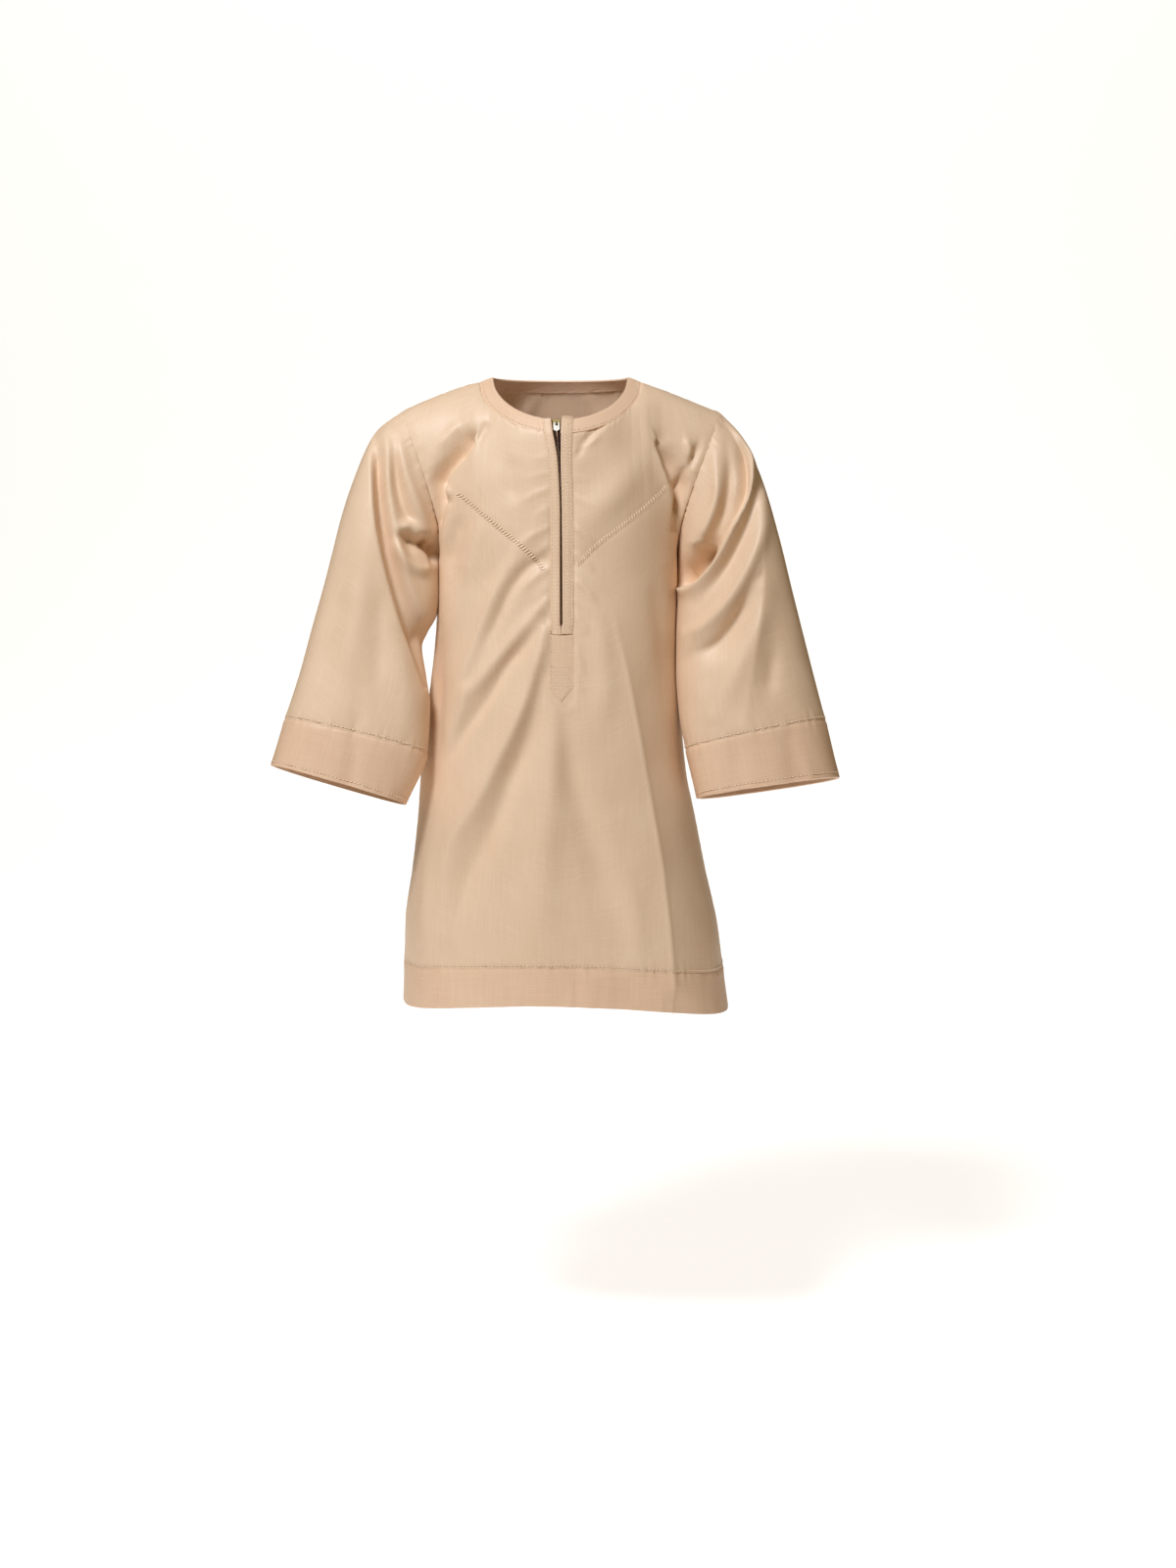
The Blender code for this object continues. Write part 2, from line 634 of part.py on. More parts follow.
def make_panel(face, name, material):
    rows = panel_rows()
    a = front_columns(rows) if face == "front" else back_columns(rows)
    outer, normals = body_grid(face, a, rows)
    index = grid_index(*a.shape)
    slit = None
    if face == "front":
        slit = a.shape[1] // 2 - 1
        sealed = rows >= slit_end_place() - 1e-6
        index[sealed, slit + 1] = index[sealed, slit]
    for border, inner in ((np.s_[0], np.s_[1]), (np.s_[-1], np.s_[-2])):
        draw_back(outer, border, inner)
    for border, inner in ((np.s_[:, 0], np.s_[:, 1]), (np.s_[:, -1], np.s_[:, -2])):
        draw_back(outer, border, inner)
    wall(name, outer, outer - normals * PANEL_WALL, index, material, slit=slit)


def make_hem_band(face, name, material):
    rows = np.linspace(hem_seam(), 2.0, BAND_ROWS + 1)
    a = front_columns(rows) if face == "front" else back_columns(rows)
    if face == "front":
        a = np.delete(a, a.shape[1] // 2, axis=1)
    outer, normals = body_grid(face, a, rows)
    draw_back(outer, np.s_[0], np.s_[1])
    for border, inner in ((np.s_[:, 0], np.s_[:, 1]), (np.s_[:, -1], np.s_[:, -2])):
        draw_back(outer, border, inner)
    wall(name, outer, outer - normals * BAND_WALL, grid_index(*a.shape), material)


def make_binding(name, material):
    """A strip round the neck from one edge of the slit to the other."""
    rows = np.linspace(-1.0, 0.0, 3)
    height = body_points("front", 0.0 * rows, rows)[..., 2]
    middle, half_width = slit_at(height)
    right_edge = find_on_front(middle - half_width, height)[0]
    left_edge = find_on_front(middle + half_width, height)[0]
    neck_point = np.full((len(rows), 1), NECK_SHARE)
    right = -np.hstack([neck_point, neck_shares("front", -right_edge)])[:, ::-1]
    left = np.hstack([neck_point, neck_shares("front", left_edge)])
    half = neck_shares("back", np.zeros(len(rows)))
    back = np.hstack([-half, half[:, -2::-1]])
    v = rows[:, None]
    stretches = (("front", right), ("back", back), ("front", left))
    outer = np.hstack([body_points(face, a, v) for face, a in stretches])
    normals = np.hstack([body_normals(face, a, v) for face, a in stretches])
    draw_back(outer, np.s_[-1], np.s_[-2])
    wall(name, outer, outer - normals * BINDING_WALL, grid_index(*outer.shape[:2]), material)


def sleeve_grid(side, along):
    """Points and normals of a sleeve, its columns meeting the panels' rows at the armhole."""
    loop = np.concatenate([np.linspace(0.0, 1.0, YOKE_ROWS + 1), np.linspace(1.0, 2.0, YOKE_ROWS + 1)[1:-1]])
    a, t = np.meshgrid(along, loop, indexing="ij")
    points = sleeve_points(side, a, t)
    normals = sleeve_normals(side, a, t)
    lift = sleeve_lift(side, points, normals)
    at_armhole = along < 1e-9
    normals[at_armhole] = armhole_normals(side, loop)
    return points + normals * lift[..., None], normals


def make_sleeve(side, name, material):
    outer, normals = sleeve_grid(side, np.linspace(0.0, CUFF_SEAM, SLEEVE_ROWS + 1))
    draw_back(outer, np.s_[0], np.s_[1], closed=True)
    draw_back(outer, np.s_[-1], np.s_[-2], closed=True)
    wall(name, outer, outer - normals * PANEL_WALL, grid_index(*outer.shape[:2]), material, closed=True)


def make_cuff(side, name, material):
    outer, normals = sleeve_grid(side, np.linspace(CUFF_SEAM, 1.0, CUFF_ROWS + 1))
    draw_back(outer, np.s_[0], np.s_[1], closed=True)
    wall(name, outer, outer - normals * BAND_WALL, grid_index(*outer.shape[:2]), material, closed=True)


def make_laid_strip(name, x, z, out, thickness, material):
    """A strip on or behind the front, from its points moved out."""
    inner = on_front(x, z, np.full(x.shape, out))
    outer = on_front(x, z, np.full(x.shape, out + thickness))
    wall(name, outer, inner, grid_index(*x.shape), material)


def make_welt(side, name, material):
    top = float(body_points("front", 0.0, -1.0)[2])
    z = np.concatenate([np.linspace(top, -53.0, 6), np.linspace(-53.0, SLIT_END, 10)[1:], [WELT_END]])
    middle, half_width = slit_at(z)
    sign = SIDE_SIGN[side]
    edge = middle + sign * half_width
    edge[-1] = middle[-1] + sign * SEAM_GAP / 2
    edge[-2] = edge[-1]
    x = edge[:, None] + sign * WELT_WIDTH[side] * np.linspace(0.0, 1.0, 3)
    z = np.broadcast_to(z[:, None], x.shape)
    make_laid_strip(name, x, z, LAID_GAP, WELT_WALL, material)


def make_tab(name, material):
    """The stitched strip below the zip, with its pointed end."""
    z = np.array([TAB_TOP, -190.0, TAB_SHOULDER, TAB_POINT])
    half_width = np.array([TAB_HALF_WIDTH, TAB_HALF_WIDTH, TAB_HALF_WIDTH, 1.0])
    x = half_width[:, None] * np.linspace(-1.0, 1.0, 5)
    z = np.broadcast_to(z[:, None], x.shape)
    make_laid_strip(name, x, z, LAID_GAP, WELT_WALL, material)


def make_tape(side, name, material):
    """A zip tape behind the slit, parted at the top round the slider's wedge."""
    z = np.concatenate([[TAPE_TOP, -24.5, -27.0, -29.5, -34.0], np.linspace(-45.0, TAPE_END, 11)])
    middle = slit_at(z)[0]
    parting = eased([-29.5, -27.0], [[TAPE_MEETING], [TAPE_PARTING]], z)[..., 0]
    sign = SIDE_SIGN[side]
    far_edge = 0 * z + TAPE_WIDTH
    x = middle[:, None] + sign * np.stack([parting, (parting + far_edge) / 2, far_edge], axis=1)
    z = np.broadcast_to(z[:, None], x.shape)
    make_laid_strip(name, x, z, -TAPE_DEPTH - TAPE_WALL, TAPE_WALL, material)


def slider_frame():
    """Matrix at the pull's axis: X across, Y up along the front, Z out of it."""
    middle = float(slit_at(np.array(SLIDER_HEIGHT))[0])
    a, v = find_on_front(middle, SLIDER_HEIGHT)
    upper = body_points("front", a, v - 0.2)
    lower = body_points("front", a, v + 0.2)
    up = Vector((0.0, float(upper[1] - lower[1]), float(upper[2] - lower[2]))).normalized()
    across = Vector((1.0, 0.0, 0.0))
    out = across.cross(up)
    frame = Matrix((across, up, out)).transposed().to_4x4()
    base = Vector([float(c) for c in body_points("front", a, v)])
    frame.translation = (base + out * PULL_AXIS) * MM
    return frame


def join(target, tool):
    """Unions one object into another and removes it."""
    union = target.modifiers.new("Join " + tool.name, "BOOLEAN")
    union.operation = "UNION"
    union.object = tool
    tool.hide_render = True
    tool.display_type = "WIRE"
    for collection in list(tool.users_collection):
        collection.objects.unlink(tool)
    GUIDES.objects.link(tool)


def plate(name, frame, top_half_width, end_half_width, level, material):
    """A slider plate: a box tapered towards its lower end, with rounded edges."""
    bpy.ops.mesh.primitive_cube_add(size=1.0)
    item = bpy.context.active_object
    item.name = name
    for vertex in item.data.vertices:
        half_width = top_half_width if vertex.co.y > 0 else end_half_width
        vertex.co.x = math.copysign(half_width * MM, vertex.co.x)
        vertex.co.y *= SLIDER_LENGTH * MM
        vertex.co.z *= PLATE_THICKNESS * MM
    item.matrix_world = frame @ Matrix.Translation((0.0, 0.0, (level - PULL_AXIS) * MM))
    bevel = item.modifiers.new("Rounded edges", "BEVEL")
    bevel.width = PLATE_BEVEL * MM
    bevel.segments = 2
    item.data.materials.append(material)
    return item


def make_slider(frame, material):
    upper = plate("zip_slider", frame, SLIDER_TOP_WIDTH / 2, SLIDER_END_WIDTH / 2, UPPER_PLATE, material)
    lower = plate("slider_lower", frame, SLIDER_TOP_WIDTH / 2, SLIDER_END_WIDTH / 2, LOWER_PLATE, material)
    bpy.ops.mesh.primitive_cube_add(size=1.0)
    wedge = bpy.context.active_object
    wedge.name = "slider_wedge"
    wedge_height = UPPER_PLATE - LOWER_PLATE
    wedge.data.transform(Matrix.Diagonal((WEDGE_SIZE[0] * MM, WEDGE_SIZE[1] * MM, wedge_height * MM, 1.0)))
    middle_level = (UPPER_PLATE + LOWER_PLATE) / 2 - PULL_AXIS
    wedge_up = (SLIDER_LENGTH - WEDGE_SIZE[1]) / 2 - PLATE_BEVEL
    wedge.matrix_world = frame @ Matrix.Translation((0.0, wedge_up * MM, middle_level * MM))
    bpy.ops.mesh.primitive_torus_add(
        major_radius=BAIL_RADIUS * MM, minor_radius=BAIL_WIRE * MM, major_segments=20, minor_segments=8
    )
    bail = bpy.context.active_object
    bail.name = "slider_bail"
    bail.matrix_world = frame @ Matrix.Rotation(math.pi / 2, 4, "Y")
    for tool in (lower, wedge, bail):
        join(upper, tool)
    return upper


def make_pull(frame, material):
    """A flat tab with an eye at its top, whose bar passes through the bail."""
    curve = bpy.data.curves.new("zip_pull", "CURVE")
    curve.dimensions = "2D"
    curve.fill_mode = "BOTH"
    curve.extrude = PULL_THICKNESS / 2 * MM
    centre_y = -(PULL_LENGTH - PULL_END_HALF_WIDTH)
    end = [
        (-PULL_END_HALF_WIDTH * math.cos(angle), centre_y - PULL_END_HALF_WIDTH * math.sin(angle))
        for angle in np.linspace(0.0, math.pi, 9)
    ]
    outline = [(PULL_EYE_HALF_WIDTH, EYE_HOLE_TOP), (-PULL_EYE_HALF_WIDTH, EYE_HOLE_TOP), *end]
    hole = [
        (EYE_HOLE_HALF_WIDTH, -EYE_HOLE_TOP),
        (-EYE_HOLE_HALF_WIDTH, -EYE_HOLE_TOP),
        (-EYE_HOLE_HALF_WIDTH, -EYE_HOLE_END),
        (EYE_HOLE_HALF_WIDTH, -EYE_HOLE_END),
    ]
    for points in (outline, hole):
        spline = curve.splines.new("POLY")
        spline.points.add(len(points) - 1)
        for point, (x, y) in zip(spline.points, points):
            point.co = (x * MM, y * MM, 0.0, 1.0)
        spline.use_cyclic_u = True
    curve.materials.append(material)
    item = bpy.data.objects.new("zip_pull", curve)
    item.matrix_world = frame
    ROBE.objects.link(item)
    return item


for old in list(bpy.data.objects):
    bpy.data.objects.remove(old)
ROBE = bpy.data.collections.new("thobe_robe")
GUIDES = bpy.data.collections.new("guides")
bpy.context.scene.collection.children.link(ROBE)
bpy.context.scene.collection.children.link(GUIDES)
layers = bpy.context.view_layer.layer_collection.children
bpy.context.view_layer.active_layer_collection = layers[ROBE.name]

for panel in FACE_SIGN:
    make_panel(panel, f"{panel}_panel", plain_material(f"{panel} cloth", PEACH, PANEL_ROUGHNESS))
    make_hem_band(panel, f"hem_{panel}", plain_material(f"{panel} hem cloth", BAND_PEACH, BAND_ROUGHNESS))
make_binding("neck_binding", plain_material("binding cloth", BAND_PEACH, BAND_ROUGHNESS))
for hand in SIDE_SIGN:
    make_sleeve(hand, f"sleeve_{hand}", plain_material(f"{hand} sleeve cloth", PEACH, PANEL_ROUGHNESS))
    make_cuff(hand, f"cuff_{hand}", plain_material(f"{hand} cuff cloth", BAND_PEACH, BAND_ROUGHNESS))
    make_welt(hand, f"placket_{hand}", plain_material(f"{hand} welt cloth", BAND_PEACH, BAND_ROUGHNESS))
    make_tape(hand, f"zip_tape_{hand}", plain_material(f"{hand} tape", BROWN, TAPE_ROUGHNESS))
make_tab("placket_tab", plain_material("tab cloth", BAND_PEACH, BAND_ROUGHNESS))
pull_frame = slider_frame()
make_slider(pull_frame, plain_material("slider metal", BRASS, METAL_ROUGHNESS, 1.0))
make_pull(pull_frame, plain_material("pull metal", SILVER, METAL_ROUGHNESS, 1.0))
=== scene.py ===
import math
from collections import namedtuple

import bpy
import numpy as np
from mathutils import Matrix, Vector


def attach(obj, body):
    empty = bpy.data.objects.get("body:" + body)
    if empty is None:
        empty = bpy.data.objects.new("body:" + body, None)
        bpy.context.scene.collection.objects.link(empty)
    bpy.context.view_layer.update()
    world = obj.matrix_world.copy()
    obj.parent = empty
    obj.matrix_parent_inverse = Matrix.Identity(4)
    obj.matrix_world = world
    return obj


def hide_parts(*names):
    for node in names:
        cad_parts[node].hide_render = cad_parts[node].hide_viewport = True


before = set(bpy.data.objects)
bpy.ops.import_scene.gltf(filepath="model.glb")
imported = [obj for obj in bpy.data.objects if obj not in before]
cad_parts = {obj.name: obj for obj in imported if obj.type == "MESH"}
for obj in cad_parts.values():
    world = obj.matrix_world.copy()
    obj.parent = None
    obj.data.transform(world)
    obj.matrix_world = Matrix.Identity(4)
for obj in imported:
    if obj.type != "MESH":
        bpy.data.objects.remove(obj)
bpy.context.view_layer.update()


# The camera stands 3 m in front of the robe and a little above it, as the photo's did, with a long lens.
# It looks past the robe's middle so that the robe has the photo's place in the picture.
LOOKED_AT = Vector((0.0, 0.0, -0.23))
CAMERA_RISE = math.radians(9.5)
CAMERA_PITCH = math.radians(10.75)
CAMERA_TURN = math.radians(-0.385)
camera_data = bpy.data.cameras.new("camera")
camera_data.lens = 93.76
camera = bpy.data.objects.new("camera", camera_data)
bpy.context.scene.collection.objects.link(camera)
camera.location = LOOKED_AT + 3.0 * Vector((0.0, -math.cos(CAMERA_RISE), math.sin(CAMERA_RISE)))
camera.rotation_euler = (math.pi / 2 - CAMERA_PITCH, 0.0, CAMERA_TURN)
bpy.context.scene.camera = camera


# The studio is a roll of pale paper, 2 m wide, that runs along the floor and curves up into a wall behind.
# One soft lamp with a honeycomb stands to the upper left in front, aimed at the robe's right half, and the
# warm room fills in from all round. The paper glows weakly, so that it stays white behind the robe.
def linear(code):
    """An sRGB hex colour as linear RGBA."""
    channels = [int(code[i : i + 2], 16) / 255 for i in (1, 3, 5)]
    return (*[c / 12.92 if c <= 0.04045 else ((c + 0.055) / 1.055) ** 2.4 for c in channels], 1.0)


def add(material, kind, settings=None, **links):
    """Adds a node to a material, with its settings by name and its inputs linked or set."""
    node = material.node_tree.nodes.new(kind)
    for name, value in (settings or {}).items():
        setattr(node, name, value)
    for name, value in links.items():
        socket = node.inputs[int(name[1:])] if name[0] == "_" else node.inputs[name.replace("_", " ")]
        if isinstance(value, bpy.types.NodeSocket):
            material.node_tree.links.new(value, socket)
        else:
            socket.default_value = value
    return node


FLOOR_LEVEL = -0.74
PAPER_FRONT = -0.7
PAPER_BEND_START = 2.4
PAPER_BEND = 1.2
PAPER_TOP = 1.3
PAPER_HALF_WIDTH = 1.0
PAPER_BEND_STEPS = 12
sweep_profile = [(PAPER_FRONT, FLOOR_LEVEL), (PAPER_BEND_START, FLOOR_LEVEL)]
for step in range(1, PAPER_BEND_STEPS + 1):
    angle = step / PAPER_BEND_STEPS * math.pi / 2
    back = PAPER_BEND_START + PAPER_BEND * math.sin(angle)
    sweep_profile.append((back, FLOOR_LEVEL + PAPER_BEND * (1 - math.cos(angle))))
sweep_profile.append((PAPER_BEND_START + PAPER_BEND, PAPER_TOP))
sweep_mesh = bpy.data.meshes.new("paper_sweep")
sweep_vertices = [(x, y, z) for y, z in sweep_profile for x in (-PAPER_HALF_WIDTH, PAPER_HALF_WIDTH)]
sweep_faces = [(2 * i, 2 * i + 1, 2 * i + 3, 2 * i + 2) for i in range(len(sweep_profile) - 1)]
sweep_mesh.from_pydata(sweep_vertices, [], sweep_faces)
sweep_mesh.shade_smooth()
paper = bpy.data.materials.new("pale paper")
paper.use_nodes = True
paper_shader = paper.node_tree.nodes["Principled BSDF"]
paper_shader.inputs["Base Color"].default_value = linear("#eff2f8")
paper_shader.inputs["Roughness"].default_value = 0.9
paper_shader.inputs["Emission Color"].default_value = (1.0, 1.0, 1.0, 1.0)
paper_shader.inputs["Emission Strength"].default_value = 0.8
sweep_mesh.materials.append(paper)
sweep = bpy.data.objects.new("paper_sweep", sweep_mesh)
bpy.context.scene.collection.objects.link(sweep)

room = bpy.data.worlds.new("pale room")
room.use_nodes = True
room.node_tree.nodes["Background"].inputs["Color"].default_value = (1.0, 0.66, 0.22, 1.0)
room.node_tree.nodes["Background"].inputs["Strength"].default_value = 0.15
bpy.context.scene.world = room
bpy.context.scene.view_settings.view_transform = "Standard"

lamp_data = bpy.data.lights.new("soft lamp", "AREA")
lamp_data.size = 0.6
lamp_data.spread = math.radians(60)
lamp_data.energy = 6.8
lamp_data.color = (0.9, 0.945, 1.0)
lamp = bpy.data.objects.new("soft lamp", lamp_data)
bpy.context.scene.collection.objects.link(lamp)
lamp.location = (-0.75, -1.5, 1.68)
lamp.rotation_euler = (Vector((-0.12, 0.0, -0.12)) - lamp.location).to_track_quat("-Z", "Y").to_euler()


# Front panel: one piece of plain-woven peach cotton from the neck binding and shoulder seams down to the
# hem band, slit at the centre for the zip. It hangs from the shoulders, drawn into slanting folds from the
# placket and pressed along one line at its left. Sizes are in millimetres.
MM = 0.001
NECK_HALF_WIDTH = 49.0
NECK_POINT_HEIGHT = 3.0
NECK_EDGE = {"front": (46.0, 26.0), "back": (38.0, 6.0)}
BINDING_SPREAD = 9.0
BINDING_FALL = 3.5
NECK_SEAM = {"front": (52.0, 31.5), "back": (43.0, 11.0)}
Shoulder = namedtuple("Shoulder", "tip drop roundness")
SHOULDERS = {"right": Shoulder(114.0, 20.5, 1.3), "left": Shoulder(115.5, 22.0, 1.05)}
NECK_SHARE = 0.6
ARMPIT_HEIGHT = -128.0
HEM_HEIGHT = -461.0
HEM_BAND = 31.0
HEM_RISE = {"front": 17.0, "back": 8.0}
HEM_TILT = 3.0
SQUARENESS = 0.03
SIDE_SIGN = {"right": -1.0, "left": 1.0}
FACE_SIGN = {"front": -1.0, "back": 1.0}
CLOTH = 0.9
NORMAL_STEP = 2e-3

Section = namedtuple("Section", "height right left front back")
BODY = (
    Section(-128, 87.0, 85.0, 64, 58),
    Section(-155, 89.5, 86.0, 68, 60),
    Section(-190, 92.0, 86.0, 72, 62),
    Section(-240, 98.0, 88.0, 76, 64),
    Section(-285, 103.0, 92.0, 78, 66),
    Section(-320, 105.5, 99.0, 80, 69),
    Section(-360, 110.0, 107.0, 82, 73),
    Section(-400, 115.5, 116.0, 85, 77),
    Section(-440, 116.5, 121.0, 87, 81),
    Section(-461, 117.0, 124.0, 88, 83),
)
Handle = namedtuple("Handle", "across top_forward top_down low_in low_forward low_up")
YOKE = {
    "front": (
        Handle(0.0, 5, 16, 0, -2.5, 40),
        Handle(0.3, 10, 13, 3, 3, 42),
        Handle(0.6, 26, 0, 8, 12, 46),
        Handle(0.8, 28, 1, 4, 26, 44),
        Handle(1.0, 30, 3, 3, 44, 34),
    ),
    "back": (
        Handle(0.0, 9, 16, 0, 0, 40),
        Handle(0.3, 12, 12, 3, 4, 42),
        Handle(0.6, 26, 0, 8, 12, 46),
        Handle(0.8, 28, 1, 4, 26, 44),
        Handle(1.0, 30, 3, 3, 42, 34),
    ),
}

# A crease is a path of (x, z) places as seen from the front, read downwards. Its rise and reach may differ
# to the path's left and right; crisp is the width over which the two meet. keen shapes it, from pressed (1)
# to soft (2), start and end are its strength at the two ends, spread its widening, and lean how far its crest
# hangs over.
Crease = namedtuple(
    "Crease", "left_rise left_reach right_rise right_reach crisp keen start end spread lean path"
)


def soft(rise, reach, *path, start=0.2, end=0.2, spread=1.0, right_reach=None, keen=2.0, lean=0.0):
    """A ridge, or with a negative rise a trough, of one height on both sides of its path."""
    return Crease(rise, reach, rise, right_reach or reach, 1.0, keen, start, end, spread, lean, path)


def edge(
    left_rise, left_reach, right_rise, right_reach, crisp, *path, start=0.2, end=0.3, spread=1.0, lean=0.0
):
    """A fold whose one side stands over the other."""
    return Crease(left_rise, left_reach, right_rise, right_reach, crisp, 2.0, start, end, spread, lean, path)


def pucker(x, z, out, down, rise=1.3, reach=1.9):
    """One of the short slanting gathers that start where the placket is sewn on."""
    return soft(rise, reach, (x, z), (x + 0.5 * out, z - 0.4 * down), (x + out, z - down), start=1.0, end=0.1)


FRONT_CREASES = (
    # from the shoulders into the armholes
    soft(-11.5, 7.0, (-65, -40), (-70, -48), (-77, -56), (-82, -63), (-85, -71), (-85, -82), (-87, -98),
         start=0.9, end=0.3, right_reach=2.2),
    soft(2.0, 4, (-70, -27), (-80, -36), (-92, -48)),
    soft(2.6, 2.6, (-88, -75), (-83, -75), (-77, -78)),
    soft(-1.8, 1.8, (-87, -83), (-81, -84), (-77, -81)),
    soft(-2.4, 3, (-51, -25), (-56, -33), (-61, -42)),
    soft(-9.5, 2.4, (71, -42), (76, -53), (81, -64), (85, -76), (86, -90), start=0.4, end=0.5, right_reach=8),
    edge(1.6, 5, -1.6, 5, 1.0, (68, -43), (71, -50), (74, -59), (78, -70), (80, -80),
         start=0.3, end=0.2),
    soft(-6.0, 3.0, (90, -62), (88, -74), (85, -87), (83, -104), start=0.5, end=0.6),
    soft(1.6, 1.6, (92, -58), (92, -67), (90, -77)),
    soft(-3.0, 2.6, (100, -41), (97, -50), (94, -57), end=0.8),
    soft(2.2, 3, (90, -37), (92, -46), (92, -53)),
    soft(3.6, 12, (9, -104), (36, -78), (61, -50)),
    soft(-2.0, 3, (31, -24), (18, -38), (9, -50), start=0.7),
    soft(-2.0, 8, (-30, -46), (-35, -64), (-30, -86)),
    # from the armhole and the placket down to the right side
    soft(3.6, 6, (-73, -75), (-82, -109), (-85, -135), (-89, -180)),
    soft(-3.2, 5, (-69, -88), (-76, -112), (-80, -142)),
    soft(1.8, 5, (-55, -92), (-62, -118), (-66, -150)),
    soft(4.2, 6, (-11, -89), (-37, -129), (-49, -153), (-61, -188), (-72, -213), (-83, -246), right_reach=8),
    soft(-3.6, 4.5, (-10, -121), (-22, -126), (-36, -143), (-48, -168), (-56, -185), (-66, -209), start=0.6),
    soft(3.6, 5, (-11, -152), (-35, -180), (-57, -209), (-69, -225), (-86, -276), start=0.4, right_reach=4),
    soft(-4.4, 5, (-11, -164), (-28, -185), (-39, -198), (-52, -219), (-77, -257), (-90, -290), start=0.5),
    soft(7.2, 7, (-13, -171), (-18, -196), (-29, -229), (-44, -262), (-60, -296), (-79, -328), (-84, -357),
         (-87, -400), start=0.4, end=0.5, spread=1.8, right_reach=5, keen=1.7, lean=0.15),
    soft(-5.0, 6.5, (-14, -204), (-22, -245), (-36, -279), (-49, -313), (-66, -346), (-74, -372), (-80, -410),
         start=0.3, end=0.4, spread=1.7),
    soft(-3.6, 7, (-89, -177), (-91, -233), (-99, -291), (-107, -351)),
    soft(2.6, 6, (-95, -332), (-98, -374), (-99, -418), end=0.6),
    # the cone below the tab's point and the slack beside it
    soft(4.6, 6, (-3, -222), (-7, -281), (-14, -352), (-17, -412),
         start=0.15, end=0.4, spread=3.6, right_reach=5),
    soft(-3.8, 7, (4, -236), (8, -272), (17, -304), (25, -337), (31, -370), (39, -402),
         start=0.3, spread=2.2),
    soft(2.6, 8, (22, -141), (29, -183), (31, -211), (28, -242)),
    soft(2.0, 8, (48, -350), (53, -383), (56, -418), end=0.5),
    # the pressed line
    soft(7.0, 24, (29, -138), (38, -161), (45, -196), (50, -226), (58, -275), (63, -305), (68, -330),
         (73, -364), (78, -409), (80, -432), start=0.1, end=0.7, spread=0.8, right_reach=15, keen=1.0),
    soft(0.7, 1.3, (38, -168), (45, -200), (52, -240), (58, -275), (64, -310), (69, -340), (76, -390),
         (80, -432), start=0.3, end=1.0, keen=1.6),
    soft(-2.6, 8, (67, -130), (73, -173), (78, -246)),
    # where the placket is sewn on
    pucker(-8, -48, -12, 3, 0.33, 2.6), pucker(-8, -60, -18, 5, 0.39, 2.2),
    pucker(-8, -71, -24, 12, 0.72, 2.4), pucker(-8, -84, -13, 9, 0.39, 1.8),
    pucker(-8, -98, -27, 18, 0.91, 2.2), pucker(-8, -110, -17, 16, 0.72, 1.9),
    pucker(-8, -121, -11, 10, 0.39, 2.2), pucker(-8, -128, -22, 17, 0.98, 2.2),
    pucker(-8, -139, -12, 13, 0.52, 2.6), pucker(-8, -149, -14, 15, 0.65, 1.9),
    pucker(10, -44, 20, -12, 1, 2.6), pucker(10, -62, 12, 6, 0.4, 2.4),
    pucker(10, -77, 14, 8, 0.6, 2.6), pucker(10, -98, 16, 17, 1.3, 2.2),
    pucker(10, -109, 9, 9, 0.6, 1.7), pucker(10, -117, 15, 16, 1.2, 2),
    pucker(10, -129, 9, 10, 0.7, 2.4), pucker(10, -136, 16, 17, 1.3, 2),
    pucker(10, -150, 11, 11, 0.7, 1.8), pucker(10, -160, 10, 16, 1.1, 2.2),
    pucker(-9, -181, -10, 16, 0.45, 2), pucker(10, -186, 7, 18, 1, 2.4),
    pucker(10, -205, 5, 14, 0.8, 2),
    # the ornamental stitching draws the cloth in
    soft(-0.25, 2.8, (-73, -75), (-51, -94), (-23, -115), (-12, -130), start=1.0, end=1.0),
    soft(-0.4, 2.4, (76, -70), (70, -78), (48, -95), (26, -110), (11, -126), start=1.0, end=1.0),
)


def eased(keys, rows, at):
    """A smooth curve through rows of values that never swings past them."""
    keys = np.asarray(keys, float)
    rows = np.asarray(rows, float)
    slopes = np.diff(rows, axis=0) / np.diff(keys)[:, None]
    product = slopes[:-1] * slopes[1:]
    total = np.where(np.abs(slopes[:-1] + slopes[1:]) < 1e-12, 1.0, slopes[:-1] + slopes[1:])
    inner = np.where(product > 0, 2.0 * product / total, 0.0)
    slopes = np.vstack([slopes[:1], inner, slopes[-1:]])
    at = np.asarray(at, float)
    cell = np.clip(np.searchsorted(keys, at) - 1, 0, len(keys) - 2)
    span = keys[cell + 1] - keys[cell]
    t = np.clip((at - keys[cell]) / span, 0.0, 1.0)[..., None]
    span = span[..., None]
    return (
        (2 * t**3 - 3 * t**2 + 1) * rows[cell]
        + (t**3 - 2 * t**2 + t) * span * slopes[cell]
        + (3 * t**2 - 2 * t**3) * rows[cell + 1]
        + (t**3 - t**2) * span * slopes[cell + 1]
    )


def smoothstep(value):
    """0 to 1 with level ends."""
    value = np.clip(value, 0.0, 1.0)
    return value * value * (3.0 - 2.0 * value)


def unit(vectors):
    return vectors / np.maximum(np.linalg.norm(vectors, axis=-1, keepdims=True), 1e-9)


